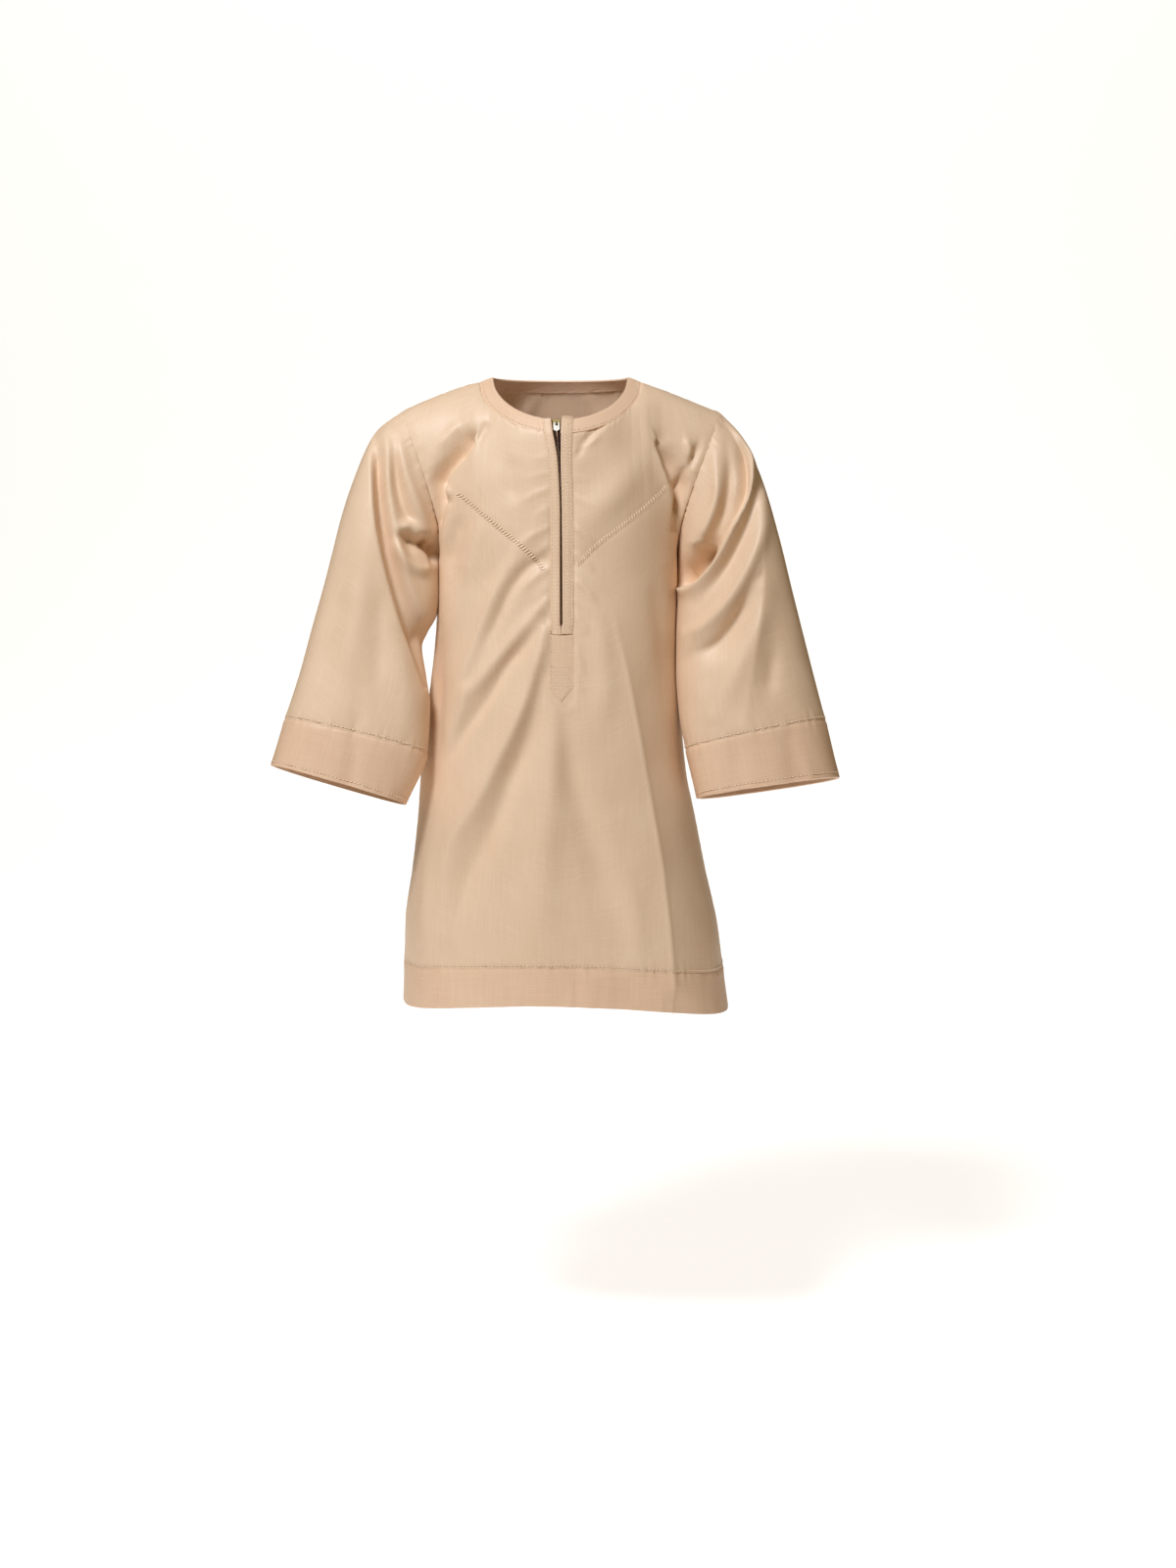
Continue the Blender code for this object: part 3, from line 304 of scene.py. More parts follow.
def section_points(face, a, height):
    """Points of the body below the armpits; a runs from -1 at the right side seam to 1 at the left."""
    rows = BODY[::-1]
    table = eased([row.height for row in rows], [row[1:] for row in rows], height)
    turn = np.abs(a) * math.pi / 2
    half_width = np.where(a < 0, table[..., 0], table[..., 1])
    half_depth = table[..., 2] if face == "front" else table[..., 3]
    x = np.sign(a) * half_width * (np.sin(turn) + SQUARENESS * np.sin(3 * turn)) / (1 - SQUARENESS)
    y = half_depth * (np.cos(turn) - SQUARENESS * np.cos(3 * turn)) / (1 - SQUARENESS)
    return np.stack([x, FACE_SIGN[face] * y, height + 0.0 * a], axis=-1)


def neck_ring(depth_and_drop, half_width, height, face, turn):
    """Points of the neck edge or the neck seam, turn running from the centre to the neck point."""
    depth, drop = depth_and_drop
    x = half_width * np.sin(turn)
    y = FACE_SIGN[face] * depth * np.cos(turn)
    z = height - drop * np.cos(turn)
    return np.stack([x, y, z], axis=-1)


def top_edge(face, a):
    """Top edge of a panel: the neck seam, then the shoulder seam out to the sleeve head."""
    share = np.abs(a)
    turn = np.clip(share / NECK_SHARE, 0.0, 1.0) * math.pi / 2
    seam_half_width = NECK_HALF_WIDTH + BINDING_SPREAD
    neck = neck_ring(NECK_SEAM[face], seam_half_width, NECK_POINT_HEIGHT - BINDING_FALL, face, turn)
    out = np.clip((share - NECK_SHARE) / (1 - NECK_SHARE), 0.0, 1.0)
    for side, shoulder in SHOULDERS.items():
        here = np.sign(a) == SIDE_SIGN[side]
        neck[..., 0] += np.where(here, out * (shoulder.tip - seam_half_width), 0.0)
        neck[..., 2] -= np.where(here, shoulder.drop * out**shoulder.roundness, 0.0)
    neck[..., 0] *= np.where(a < 0, -1.0, 1.0)
    return neck


def rounded_top(face, a):
    """The top edge with the corners at the neck points eased, for the cloth's run down from it."""
    mean = sum(top_edge(face, np.clip(a + step, -1.0, 1.0)) for step in (-0.18, -0.09, 0.0, 0.09, 0.18)) / 5
    near = np.exp(-(((np.abs(a) - NECK_SHARE) / 0.2) ** 2)) * smoothstep((1.0 - np.abs(a)) / 0.15)
    top = top_edge(face, a)
    return top + (mean - top) * near[..., None]


def body_points(face, a, v):
    """The body's outer face. v runs down it: -1 neck edge, 0 panel's top edge, 1 armpits, 2 hem."""
    a, v = np.broadcast_arrays(np.asarray(a, float), np.asarray(v, float))
    side = np.where(a < 0, -1.0, 1.0)
    front = FACE_SIGN[face]
    top = top_edge(face, a)
    rounded = rounded_top(face, a)
    down = np.clip(v - 1, 0.0, 1.0)
    height = ARMPIT_HEIGHT + (HEM_HEIGHT - ARMPIT_HEIGHT) * down
    low = section_points(face, a, height)
    turn = a * math.pi / 2
    low[..., 2] += (HEM_RISE[face] * np.cos(turn) ** 2 - HEM_TILT * np.sin(turn)) * down**2
    armpit = section_points(face, a, np.full(a.shape, ARMPIT_HEIGHT))
    rows = YOKE[face]
    handle = eased([row.across for row in rows], [row[1:] for row in rows], np.abs(a))
    zero = 0.0 * a
    first = rounded + np.stack([zero, front * handle[..., 0], -handle[..., 1]], axis=-1)
    second = armpit + np.stack([-side * handle[..., 2], front * handle[..., 3], handle[..., 4]], axis=-1)
    t = np.clip(v, 0.0, 1.0)[..., None]
    leaving = top + (rounded - top) * smoothstep(t / 0.1)
    yoke = (1 - t) ** 3 * leaving + 3 * t * (1 - t) ** 2 * first + 3 * t**2 * (1 - t) * second + t**3 * armpit
    neck_turn = np.clip(np.abs(a) / NECK_SHARE, 0.0, 1.0) * math.pi / 2
    finished_edge = neck_ring(NECK_EDGE[face], NECK_HALF_WIDTH, NECK_POINT_HEIGHT, face, neck_turn)
    finished_edge[..., 0] *= side
    binding = top + (finished_edge - top) * np.clip(-v, 0.0, 1.0)[..., None]
    v = v[..., None]
    return np.where(v < 0, binding, np.where(v <= 1, yoke, low))


def body_normals(face, a, v):
    """Outward normals of the body's outer face; at the neck points, those of the shoulder beside them."""
    a, v = np.broadcast_arrays(np.asarray(a, float), np.asarray(v, float))
    at_neck_point = np.abs(np.abs(a) - NECK_SHARE) < NORMAL_STEP
    a = np.where(at_neck_point, np.sign(a) * (NECK_SHARE + 2 * NORMAL_STEP), a)
    v = np.where(at_neck_point, np.maximum(v, 0.0), v)
    highest = np.where(np.abs(a) < NECK_SHARE, -1.0, 0.0)
    rightward = np.maximum(a - NORMAL_STEP, -1.0)
    leftward = np.minimum(a + NORMAL_STEP, 1.0)
    above = np.maximum(v - NORMAL_STEP, highest)
    below = np.minimum(v + NORMAL_STEP, 2.0)
    across = body_points(face, leftward, v) - body_points(face, rightward, v)
    down = body_points(face, a, below) - body_points(face, a, above)
    return unit(np.cross(down, across) * -FACE_SIGN[face])


def smooth_path(places, steps=8):
    """A curve through a crease's places."""
    places = np.asarray(places, float)
    ends = np.vstack([2 * places[0] - places[1], places, 2 * places[-1] - places[-2]])
    t = np.linspace(0.0, 1.0, steps, endpoint=False)[:, None]
    curve = [
        0.5 * (2 * b + (c - a) * t + (2 * a - 5 * b + 4 * c - d) * t**2 + (3 * b - a - 3 * c + d) * t**3)
        for a, b, c, d in zip(ends, ends[1:], ends[2:], ends[3:])
    ]
    return np.vstack([*curve, places[-1:]])


def crease_lift(creases, x, z):
    """How far the creases raise the cloth at (x, z) in front view, and how far they shift it sideways."""
    lift = np.zeros(np.shape(x))
    shift = np.zeros((*np.shape(x), 2))
    for crease in creases:
        path = smooth_path(crease.path)
        margin = 2.8 * max(crease.left_reach, crease.right_reach) * max(1.0, crease.spread)
        margin *= 2.0 if crease.keen < 1.5 else 1.0
        low = path.min(axis=0) - margin
        high = path.max(axis=0) + margin
        near = (x > low[0]) & (x < high[0]) & (z > low[1]) & (z < high[1])
        if not near.any():
            continue
        points = np.stack([x[near], z[near]], axis=-1)
        run = np.diff(path, axis=0)
        off = points[:, None] - path[:-1]
        t = np.clip(np.sum(off * run, axis=-1) / np.sum(run**2, axis=-1), 0.0, 1.0)
        gap = off - run * t[..., None]
        distance = np.hypot(gap[..., 0], gap[..., 1])
        nearest = distance.argmin(axis=1)
        pick = (np.arange(len(points)), nearest)
        along = (nearest + t[pick]) / len(run)
        gap = gap[pick]
        reach = distance[pick]
        side = np.sign(run[nearest, 0] * gap[:, 1] - run[nearest, 1] * gap[:, 0])
        widen = 1.0 + (crease.spread - 1.0) * along
        far = np.sqrt(reach**2 + 0.5) - 0.7 if crease.keen < 1.5 else reach
        left = crease.left_rise * np.exp(-((far / (crease.left_reach * widen)) ** crease.keen))
        right = crease.right_rise * np.exp(-((far / (crease.right_reach * widen)) ** crease.keen))
        share = smoothstep(0.5 + side * reach / (2 * crease.crisp))
        swell = crease.start + (1 - crease.start) * smoothstep(along / 0.35)
        swell *= crease.end + (1 - crease.end) * smoothstep((1 - along) / 0.35)
        here = (left + (right - left) * share) * swell
        lift[near] += here
        if crease.lean:
            rightward = unit(np.stack([-run[:, 1], run[:, 0]], axis=-1))[nearest]
            shift[near] += rightward * (crease.lean * here)[:, None]
    return lift, shift


def unevenness(points, size, grain, seed):
    """Small soft irregularities, the same on every run."""
    total = np.zeros(points.shape[:-1])
    for wave in range(7):
        turn = seed + 2.4 * wave
        direction = np.array([math.cos(turn), math.sin(1.7 * turn), math.sin(turn)])
        total += np.sin(points @ direction * (2 * math.pi / grain) * (0.7 + 0.13 * wave) + 5 * turn)
    return size * total / 2.6


def puckers(along, away, size, pitch, reach, seed):
    """The small uneven gathers that a seam's thread draws up beside it."""
    drift = 1.9 * np.sin(2 * math.pi * along / (pitch * 3.3) + seed)
    wave = np.sin(2 * math.pi * along / pitch + drift)
    strength = 0.6 + 0.4 * np.sin(2 * math.pi * along / (pitch * 2.3) + 2 * seed)
    return size * wave * strength * np.exp(-((away / reach) ** 2))


def facing(normals, sign):
    """1 where the cloth faces the front (sign -1) or the back (sign 1), fading to 0 at the outline."""
    return smoothstep(sign * normals[..., 1] / 0.45)


def arc(points, axis):
    """Lengths along a grid's rows or columns, from its first point."""
    steps = np.linalg.norm(np.diff(points, axis=axis), axis=-1)
    zero = np.zeros_like(np.take(steps, [0], axis=axis))
    return np.concatenate([zero, np.cumsum(steps, axis=axis)], axis=axis)


def armhole(side, t):
    """The seam between body and sleeve; t runs down the front from the shoulder, then up the back."""
    a = np.full(np.shape(t), SIDE_SIGN[side])
    front = body_points("front", a, np.clip(t, 0.0, 1.0))
    back = body_points("back", a, np.clip(2.0 - t, 0.0, 1.0))
    return np.where((np.asarray(t) <= 1.0)[..., None], front, back)


def armhole_distance(side, points):
    """Distance from points to the armhole seam."""
    seam = armhole(side, np.linspace(0.0, 2.0, 61))
    flat = points.reshape(-1, 3)
    away = np.full(len(flat), 1e3)
    for start, end in zip(seam, seam[1:]):
        run = end - start
        t = np.clip((flat - start) @ run / (run @ run), 0.0, 1.0)
        away = np.minimum(away, np.linalg.norm(flat - start - t[:, None] * run, axis=-1))
    return away.reshape(points.shape[:-1])


Slit = namedtuple("Slit", "height middle half_width")
SLIT = (
    Slit(-169, 0.1, 1.1),
    Slit(-88, 0.0, 1.0),
    Slit(-53, -1.2, 1.3),
    Slit(-38, -2.2, 2.4),
    Slit(-31, -2.8, 3.2),
    Slit(-23, -3.0, 4.0),
)
SLIT_END = -169.0
TAB_POINT = -222.0


def slit_at(height):
    """Middle and half width of the zip slit at a height."""
    height = np.clip(height, SLIT_END, SLIT[-1].height)
    table = eased([row.height for row in SLIT], [row[1:] for row in SLIT], height)
    return table[..., 0], table[..., 1]


def find_on_front(x, z):
    """The (a, v) of the front's outer face at x, z in front view."""
    x, z = np.broadcast_arrays(np.asarray(x, float), np.asarray(z, float))
    a = x / SHOULDERS["left"].tip
    v = np.full(x.shape, 0.5)
    for _ in range(7):
        low = np.full(x.shape, -1.0)
        high = np.full(x.shape, 2.0)
        for _ in range(20):
            v = (low + high) / 2
            above = body_points("front", a, v)[..., 2] > z
            low = np.where(above, v, low)
            high = np.where(above, high, v)
        low = np.full(x.shape, -1.0)
        high = np.full(x.shape, 1.0)
        for _ in range(20):
            a = (low + high) / 2
            short = body_points("front", a, v)[..., 0] < x
            low = np.where(short, a, low)
            high = np.where(short, high, a)
    return a, v


def raise_body(face, points, normals, creases, out=0.0):
    """The body's points moved by its creases, which fade beside the placket and at the armholes.

    The bend where yoke and skirt meet is filled softly."""
    lift, shift = crease_lift(creases, points[..., 0], points[..., 2])
    lift += unevenness(points, 0.22, 46.0, 3.0)
    above = points[..., 2] - ARMPIT_HEIGHT
    bend = eased([0.0, 26.0, 70.0, 86.0], [[0.04], [0.09], [0.16], [0.26]], np.abs(points[..., 0]))[..., 0]
    lift += bend * (np.sqrt(above**2 + 120.0) - np.abs(above))
    share = facing(normals, FACE_SIGN[face])
    if face == "front":
        beside = np.abs(points[..., 0] - 1.0) + np.maximum(TAB_POINT - points[..., 2], 0.0)
        share = share * (0.1 + 0.9 * smoothstep((beside - 7.0) / 4.0))
    for side in SIDE_SIGN:
        share = share * smoothstep(armhole_distance(side, points) / 6.0)
    moved = points + normals * (lift * share + out)[..., None]
    moved[..., 0] += shift[..., 0] * share
    moved[..., 2] += shift[..., 1] * share
    return moved


def on_front(x, z, out):
    """Points of the front at x, z in front view, moved out from its outer face, and the normals there."""
    a, v = find_on_front(x, z)
    points = body_points("front", a, v)
    normals = body_normals("front", a, v)
    return raise_body("front", points, normals, FRONT_CREASES, out), normals


def outward_piece(name, mesh):
    """The mesh as a smooth object, without loose points and with its faces turned outward."""
    piece = bpy.data.objects.new(name, mesh)
    bpy.context.scene.collection.objects.link(piece)
    bpy.ops.object.select_all(action="DESELECT")
    bpy.context.view_layer.objects.active = piece
    piece.select_set(True)
    bpy.ops.object.mode_set(mode="EDIT")
    bpy.ops.mesh.select_all(action="SELECT")
    bpy.ops.mesh.delete_loose(use_verts=True, use_edges=True, use_faces=False)
    bpy.ops.mesh.select_all(action="SELECT")
    bpy.ops.mesh.normals_make_consistent(inside=False)
    bpy.ops.object.mode_set(mode="OBJECT")
    mesh.shade_smooth()
    return piece


def cloth(name, outer, inner, across, down, closed=False, joined=None, slit=None):
    """A cloth wall between two grids of points in mm, with rounded edges and its grain as a UV map in metres.

    joined maps the grid's places to vertices, and slit is a column left open."""
    rows, columns = outer.shape[:2]
    index = np.arange(rows * columns).reshape(rows, columns) if joined is None else joined
    place = np.arange(rows * across.shape[1]).reshape(rows, across.shape[1])
    if closed:
        index = np.hstack([index, index[:, :1]])
    corners = (np.s_[:-1, :-1], np.s_[1:, :-1], np.s_[1:, 1:], np.s_[:-1, 1:])
    quads = np.stack([index[corner] for corner in corners], axis=-1)
    places = np.stack([place[corner] for corner in corners], axis=-1)
    if slit is not None:
        quads = np.delete(quads, slit, axis=1)
        places = np.delete(places, slit, axis=1)
    quads = quads.reshape(-1, 4)
    places = places.reshape(-1, 4)
    count = rows * columns
    sides = {}
    for quad, quad_places in zip(quads.tolist(), places.tolist()):
        for i in range(4):
            j = (i + 1) % 4
            sides[quad[i], quad[j]] = (quad_places[i], quad_places[j])
    rims = [(start, end, *sides[start, end]) for start, end in sides if (end, start) not in sides]
    flat_outer = outer.reshape(-1, 3)
    flat_inner = inner.reshape(-1, 3)
    outward = np.zeros_like(flat_outer)
    thickness = flat_outer - flat_inner
    for start, end, _, _ in rims:
        direction = np.cross(thickness[start], flat_outer[end] - flat_outer[start])
        direction /= max(np.linalg.norm(direction), 1e-9)
        outward[start] += direction
        outward[end] += direction
    rim_vertices = sorted({corner for rim in rims for corner in rim[:2]})
    rim_number = {corner: 2 * count + i for i, corner in enumerate(rim_vertices)}
    half = np.linalg.norm(thickness[rim_vertices], axis=-1, keepdims=True) * 0.45
    middle = (flat_outer[rim_vertices] + flat_inner[rim_vertices]) / 2 + unit(outward[rim_vertices]) * half
    vertices = np.vstack([flat_outer, flat_inner, middle]) * MM
    faces = quads.tolist() + (quads[:, ::-1] + count).tolist()
    face_places = places.tolist() + places[:, ::-1].tolist()
    for start, end, start_place, end_place in rims:
        faces.append([end, start, rim_number[start], rim_number[end]])
        faces.append([rim_number[end], rim_number[start], start + count, end + count])
        face_places += [[end_place, start_place, start_place, end_place]] * 2
    mesh = bpy.data.meshes.new(name)
    mesh.from_pydata(vertices.tolist(), [], faces)
    grain = np.stack([across.ravel(), down.ravel()], axis=-1) * MM
    uv_map = mesh.uv_layers.new(name="grain")
    uv_map.data.foreach_set("uv", grain[np.array(face_places).ravel()].ravel().astype(np.float32))
    rim_edges = {frozenset((start + i, end + i)) for start, end, _, _ in rims for i in (0, count)}
    sharp = [frozenset(mesh_edge.vertices) in rim_edges for mesh_edge in mesh.edges]
    mesh.attributes.new("sharp_edge", "BOOLEAN", "EDGE").data.foreach_set("value", sharp)
    return outward_piece(name, mesh)


# Plain-woven combed cotton with a light calendered finish, dyed peach in the yarn. Close up its warp and weft
# show as fine uneven streaks. Their colour is partly painted shade, lit on the raised threads and shaded in
# the weave's low places, and partly a random cloudy tone. Its folds catch a soft satin light. The real
# threads are
# 0.2 mm apart; the streaks are drawn 0.9 mm wide so that they show in a picture of the whole robe.
def cotton(name, lit, shaded, roughness):
    material = bpy.data.materials.new(name)
    material.use_nodes = True
    shader = material.node_tree.nodes["Principled BSDF"]
    grain = add(material, "ShaderNodeUVMap", {"uv_map": "grain"}).outputs["UV"]
    warp_place = add(material, "ShaderNodeMapping", Vector=grain, Scale=(1 / 0.0009, 1 / 0.030, 1.0))
    weft_place = add(material, "ShaderNodeMapping", Vector=grain, Scale=(1 / 0.026, 1 / 0.0009, 1.0))
    warp = add(material, "ShaderNodeTexNoise", Vector=warp_place.outputs[0], Scale=1.0, Detail=2.0)
    weft = add(material, "ShaderNodeTexNoise", Vector=weft_place.outputs[0], Scale=1.0, Detail=2.0)
    threads = add(material, "ShaderNodeMath", {"operation": "ADD"}, _0=warp.outputs[0], _1=weft.outputs[0])
    half = add(material, "ShaderNodeMath", {"operation": "MULTIPLY"}, _0=threads.outputs[0], _1=0.5)
    cloudy = add(material, "ShaderNodeTexNoise", Vector=grain, Scale=1 / 0.07, Detail=3.0)
    tone = add(material, "ShaderNodeMath", {"operation": "MULTIPLY"}, _0=cloudy.outputs[0], _1=0.5)
    both = add(material, "ShaderNodeMath", {"operation": "MULTIPLY_ADD"}, _0=half.outputs[0], _1=0.9,
               _2=tone.outputs[0])
    # The ramp is painted shade in the weave: it follows the bump's height from the shaded colour in the low
    # places to the lit colour on the raised threads, with the cloudy tone mixed in.
    ramp = add(material, "ShaderNodeValToRGB", Fac=both.outputs[0])
    ramp.color_ramp.elements[0].position = 0.45
    ramp.color_ramp.elements[0].color = linear(shaded)
    ramp.color_ramp.elements[1].position = 0.95
    ramp.color_ramp.elements[1].color = linear(lit)
    bump = add(material, "ShaderNodeBump", Height=half.outputs[0], Strength=0.3, Distance=0.0002)
    links = material.node_tree.links
    links.new(ramp.outputs["Color"], shader.inputs["Base Color"])
    links.new(bump.outputs["Normal"], shader.inputs["Normal"])
    shader.inputs["Roughness"].default_value = roughness
    shader.inputs["Specular IOR Level"].default_value = 0.42
    shader.inputs["Sheen Weight"].default_value = 0.05
    shader.inputs["Sheen Roughness"].default_value = 0.45
    shader.inputs["Sheen Tint"].default_value = linear("#ffe9cf")
    return material


panel_cotton = cotton("peach combed cotton", "#eed4b8", "#e2c1a2", 0.48)

SHOULDER_COLUMNS = 34
FRONT_COLUMNS = 60
YOKE_ROWS = 74
SLIT_ROWS = 22
SKIRT_ROWS = 112
SEAM_TUCK = 0.3
SEAM_REACH = 1.5


def neck_shares(columns, centre):
    """Column places from the neck point in to the centre, one row for each value of centre."""
    steps = np.linspace(0.0, 1.0, columns + 1)[1:]
    return NECK_SHARE + (centre[..., None] - NECK_SHARE) * steps


def hem_seam():
    """Row place of the seam between a panel and its hem band."""
    return 2.0 - HEM_BAND / (ARMPIT_HEIGHT - HEM_HEIGHT)


slit_end = float(find_on_front(SLIT[0].middle, SLIT_END)[1])
panel_rows = np.concatenate([
    np.linspace(0.0, 1.0, YOKE_ROWS + 1),
    np.linspace(1.0, slit_end, SLIT_ROWS + 1)[1:],
    np.linspace(slit_end, hem_seam(), SKIRT_ROWS + 1)[1:],
])


def front_columns(rows, seam_columns, centre_columns):
    """Column places of the front for each row, right half then left half, parted along the slit."""
    height = body_points("front", 0.0 * rows, rows)[..., 2]
    middle, half_width = slit_at(height)
    half_width = np.where(rows < slit_end - 1e-6, half_width, 0.0)
    right_edge = find_on_front(middle - half_width, height)[0]
    left_edge = find_on_front(middle + half_width, height)[0]
    outer = np.broadcast_to(np.linspace(1.0, NECK_SHARE, seam_columns + 1), (len(rows), seam_columns + 1))
    right = -np.hstack([outer, neck_shares(centre_columns, -right_edge)])
    left = np.hstack([outer, neck_shares(centre_columns, left_edge)])[:, ::-1]
    return np.hstack([right, left])


def body_sheet(face, a, v, creases):
    """Points of a panel or band with its creases, its normals, and its grain lengths across and down."""
    v = np.broadcast_to(v[:, None], a.shape)
    points = body_points(face, a, v)
    normals = body_normals(face, a, v)
    points = raise_body(face, points, normals, creases)
    across = arc(points, 1)
    middle = across.shape[1] // 2
    across = across - across[:, middle : middle + 1]
    down = arc(points, 0)
    return points, normals, across, down


front_a = front_columns(panel_rows, SHOULDER_COLUMNS, FRONT_COLUMNS)
front_points, front_normals, front_across, front_down = body_sheet(
    "front", front_a, panel_rows, FRONT_CREASES
)


def sew_in(points, normals, across, down, v):
    """Sinks a panel's edges into its seams and gathers them slightly."""
    from_side = np.minimum(across - across[:, :1], across[:, -1:] - across)
    from_hem = down[-1:] - down
    from_top = down
    sink = np.zeros(points.shape[:2])
    for away in (from_side, from_hem, from_top):
        sink = sink - SEAM_TUCK * np.exp(-((away / SEAM_REACH) ** 2))
    beside_sleeve = np.where(v[:, None] < 1.02, 1.0, 0.35)
    sink += puckers(down, from_side, 0.35, 9.0, 6.0, 1.0) * beside_sleeve
    sink += puckers(across, from_hem, 0.4, 11.0, 7.0, 2.0) + puckers(across, from_hem, 0.35, 4.6, 3.5, 9.0)
    sink += puckers(across, from_top, 0.3, 8.0, 5.0, 3.0)
    return points + normals * sink[..., None]


front_points = sew_in(front_points, front_normals, front_across, front_down, panel_rows)
slit_column = front_a.shape[1] // 2 - 1
front_joined = np.arange(front_a.size).reshape(front_a.shape)
below_slit = panel_rows >= slit_end - 1e-6
front_joined[below_slit, slit_column + 1] = front_joined[below_slit, slit_column]
front_inner = front_points - front_normals * CLOTH
front_cloth = cloth("front_cloth", front_points, front_inner, front_across, front_down, joined=front_joined,
                    slit=slit_column)
front_cloth.data.materials.append(panel_cotton)
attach(front_cloth, "root")
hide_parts("front_panel")


# Back panel: the same cotton in one piece without a slit, set on at the shoulder and side seams. The photo
# doesn't show it, so it has folds like the front's, falling from the shoulder blades.
BACK_CREASES = (
    soft(-4.0, 9, (-58, -50), (-70, -90), (-78, -160), (-86, -235), right_reach=11),
    soft(-4.0, 9, (60, -54), (70, -95), (76, -165), (80, -245), right_reach=11),
    soft(2.0, 6, (-72, -40), (-86, -66), (-92, -96)),
    soft(2.2, 6, (74, -42), (86, -70), (90, -100)),
    soft(4.2, 10, (-30, -62), (-44, -150), (-52, -240), (-62, -330), (-70, -428), end=0.7, spread=1.7),
    soft(-4.4, 10, (-4, -100), (-7, -200), (-12, -300), (-20, -425), end=0.7, spread=1.8),
    soft(4.6, 11, (24, -80), (32, -170), (36, -270), (42, -425), end=0.7, spread=1.6),
    soft(-4.2, 10, (54, -160), (62, -250), (70, -340), (78, -425), end=0.7, spread=1.4),
    soft(-3.2, 9, (-74, -230), (-86, -310), (-94, -425), end=0.6, spread=1.3),
    soft(1.8, 6, (-16, -130), (-26, -190), (-30, -260)),
    soft(-1.6, 5, (12, -150), (10, -220), (14, -300)),
    soft(1.6, 5, (86, -230), (94, -320), (102, -410)),
    soft(2.4, 12, (-48, -36), (0, -44), (48, -38)),
    soft(-1.4, 5, (-20, -18), (-30, -34), (-44, -46), start=0.6),
    soft(-1.4, 5, (22, -18), (32, -36), (46, -48), start=0.6),
)
BACK_COLUMNS = 46
back_shoulder = np.linspace(1.0, NECK_SHARE, SHOULDER_COLUMNS + 1)
back_half = np.concatenate([back_shoulder, neck_shares(BACK_COLUMNS, np.array(0.0))])
back_whole = np.concatenate([-back_half, back_half[-2::-1]])
back_a = np.broadcast_to(back_whole, (len(panel_rows), len(back_whole)))
back_points, back_normals, back_across, back_down = body_sheet("back", back_a, panel_rows, BACK_CREASES)
back_points = sew_in(back_points, back_normals, back_across, back_down, panel_rows)
back_cloth = cloth("back_cloth", back_points, back_points - back_normals * CLOTH, back_across, back_down)
back_cloth.data.materials.append(panel_cotton)
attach(back_cloth, "root")
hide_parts("back_panel")


# Hem bands: strips of the same cotton doubled to 31 mm and set on below the panels, front and back. The
# double layer is a little stiffer and looks slightly pinker and duller, and the front's is joined once beside
# the centre.
band_cotton = cotton("doubled peach cotton", "#eecfb2", "#e1bb9c", 0.52)
BAND_ROWS = 15
BAND_WALL = 1.7
band_rows = np.linspace(hem_seam(), 2.0, BAND_ROWS + 1)
HEM_CREASES = (
    soft(-0.9, 1.2, (11, -424), (11.5, -450), start=1.0, end=1.0),
    soft(0.9, 9, (-60, -428), (-56, -456), start=0.9, end=0.9),
    soft(-0.8, 8, (-24, -426), (-28, -454), start=0.9, end=0.9),
    soft(1.2, 12, (22, -424), (21, -450), start=1.0, end=1.0, keen=1.0),
)
for face, creases in (("front", FRONT_CREASES), ("back", BACK_CREASES)):
    if face == "front":
        band_a = np.delete(front_columns(band_rows, SHOULDER_COLUMNS, FRONT_COLUMNS), slit_column + 1, axis=1)
    else:
        band_a = np.broadcast_to(back_whole, (len(band_rows), len(back_whole)))
    points, normals, across, down = body_sheet(face, band_a, band_rows, creases)
    sink = 0.35 - 0.45 * np.exp(-((down / 1.2) ** 2)) + puckers(across, down, 0.4, 11.0, 7.0, 2.0)
    sink += puckers(across, down[-1:] - down, 0.3, 17.0, 12.0, 4.0)
    if face == "front":
        sink += crease_lift(HEM_CREASES, points[..., 0], points[..., 2])[0] * smoothstep(down / 8.0)
    points = points + normals * sink[..., None]
    band = cloth(f"hem_band_{face}", points, points - normals * BAND_WALL, across, down)
    band.data.materials.append(band_cotton)
    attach(band, "root")
    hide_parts(f"hem_{face}")


# Sleeves: wide and straight, each one piece of the cotton closed by an underarm seam and set into the
# armhole. The arm inside leaves the front half slack, so deep folds run from the sleeve head to the underarm.
Ring = namedtuple("Ring", "along outer_x outer_z inner_x inner_z middle_y half_depth raised")
SLEEVES = {
    "right": (
        Ring(0.00, 114, -20, 87, -128, 0, 29, 0),
        Ring(0.08, 134, -36, 88, -136, -4, 31, 1),
        Ring(0.20, 150, -70, 87.6, -152, -11, 32, 2),
        Ring(0.30, 159, -97, 90, -168, -16, 33, 3),
        Ring(0.38, 165, -120, 97, -181, -19, 33, 4),
        Ring(0.46, 171, -143, 101, -191, -21, 34, 5),
        Ring(0.60, 181, -178, 98, -211, -26, 34, 6),
        Ring(0.72, 189, -207, 95, -234, -32, 33, 7),
        Ring(0.88, 200, -241, 97, -266, -40, 32, 8),
        Ring(1.00, 210, -274, 113, -303, -46, 31, 8),
    ),
    "left": (
        Ring(0.00, 115, -20, 85, -128, 0, 29, 0),
        Ring(0.08, 131, -38, 85, -137, -7, 31, 1),
        Ring(0.20, 146, -70, 84.4, -156, -13, 32, 3),
        Ring(0.35, 158, -110, 83.6, -182, -19, 33, 5),
        Ring(0.50, 168, -150, 83.6, -207, -23, 34, 7),
        Ring(0.68, 180, -197, 85.4, -236, -30, 33, 8),
        Ring(0.88, 192, -243, 90.5, -264, -37, 32, 8),
        Ring(1.00, 202, -284, 99, -299, -42, 31, 8),
    ),
}
SLEEVE_SQUARENESS = 0.02
ARMHOLE_REACH = 0.28
CUFF_SEAM = 0.88
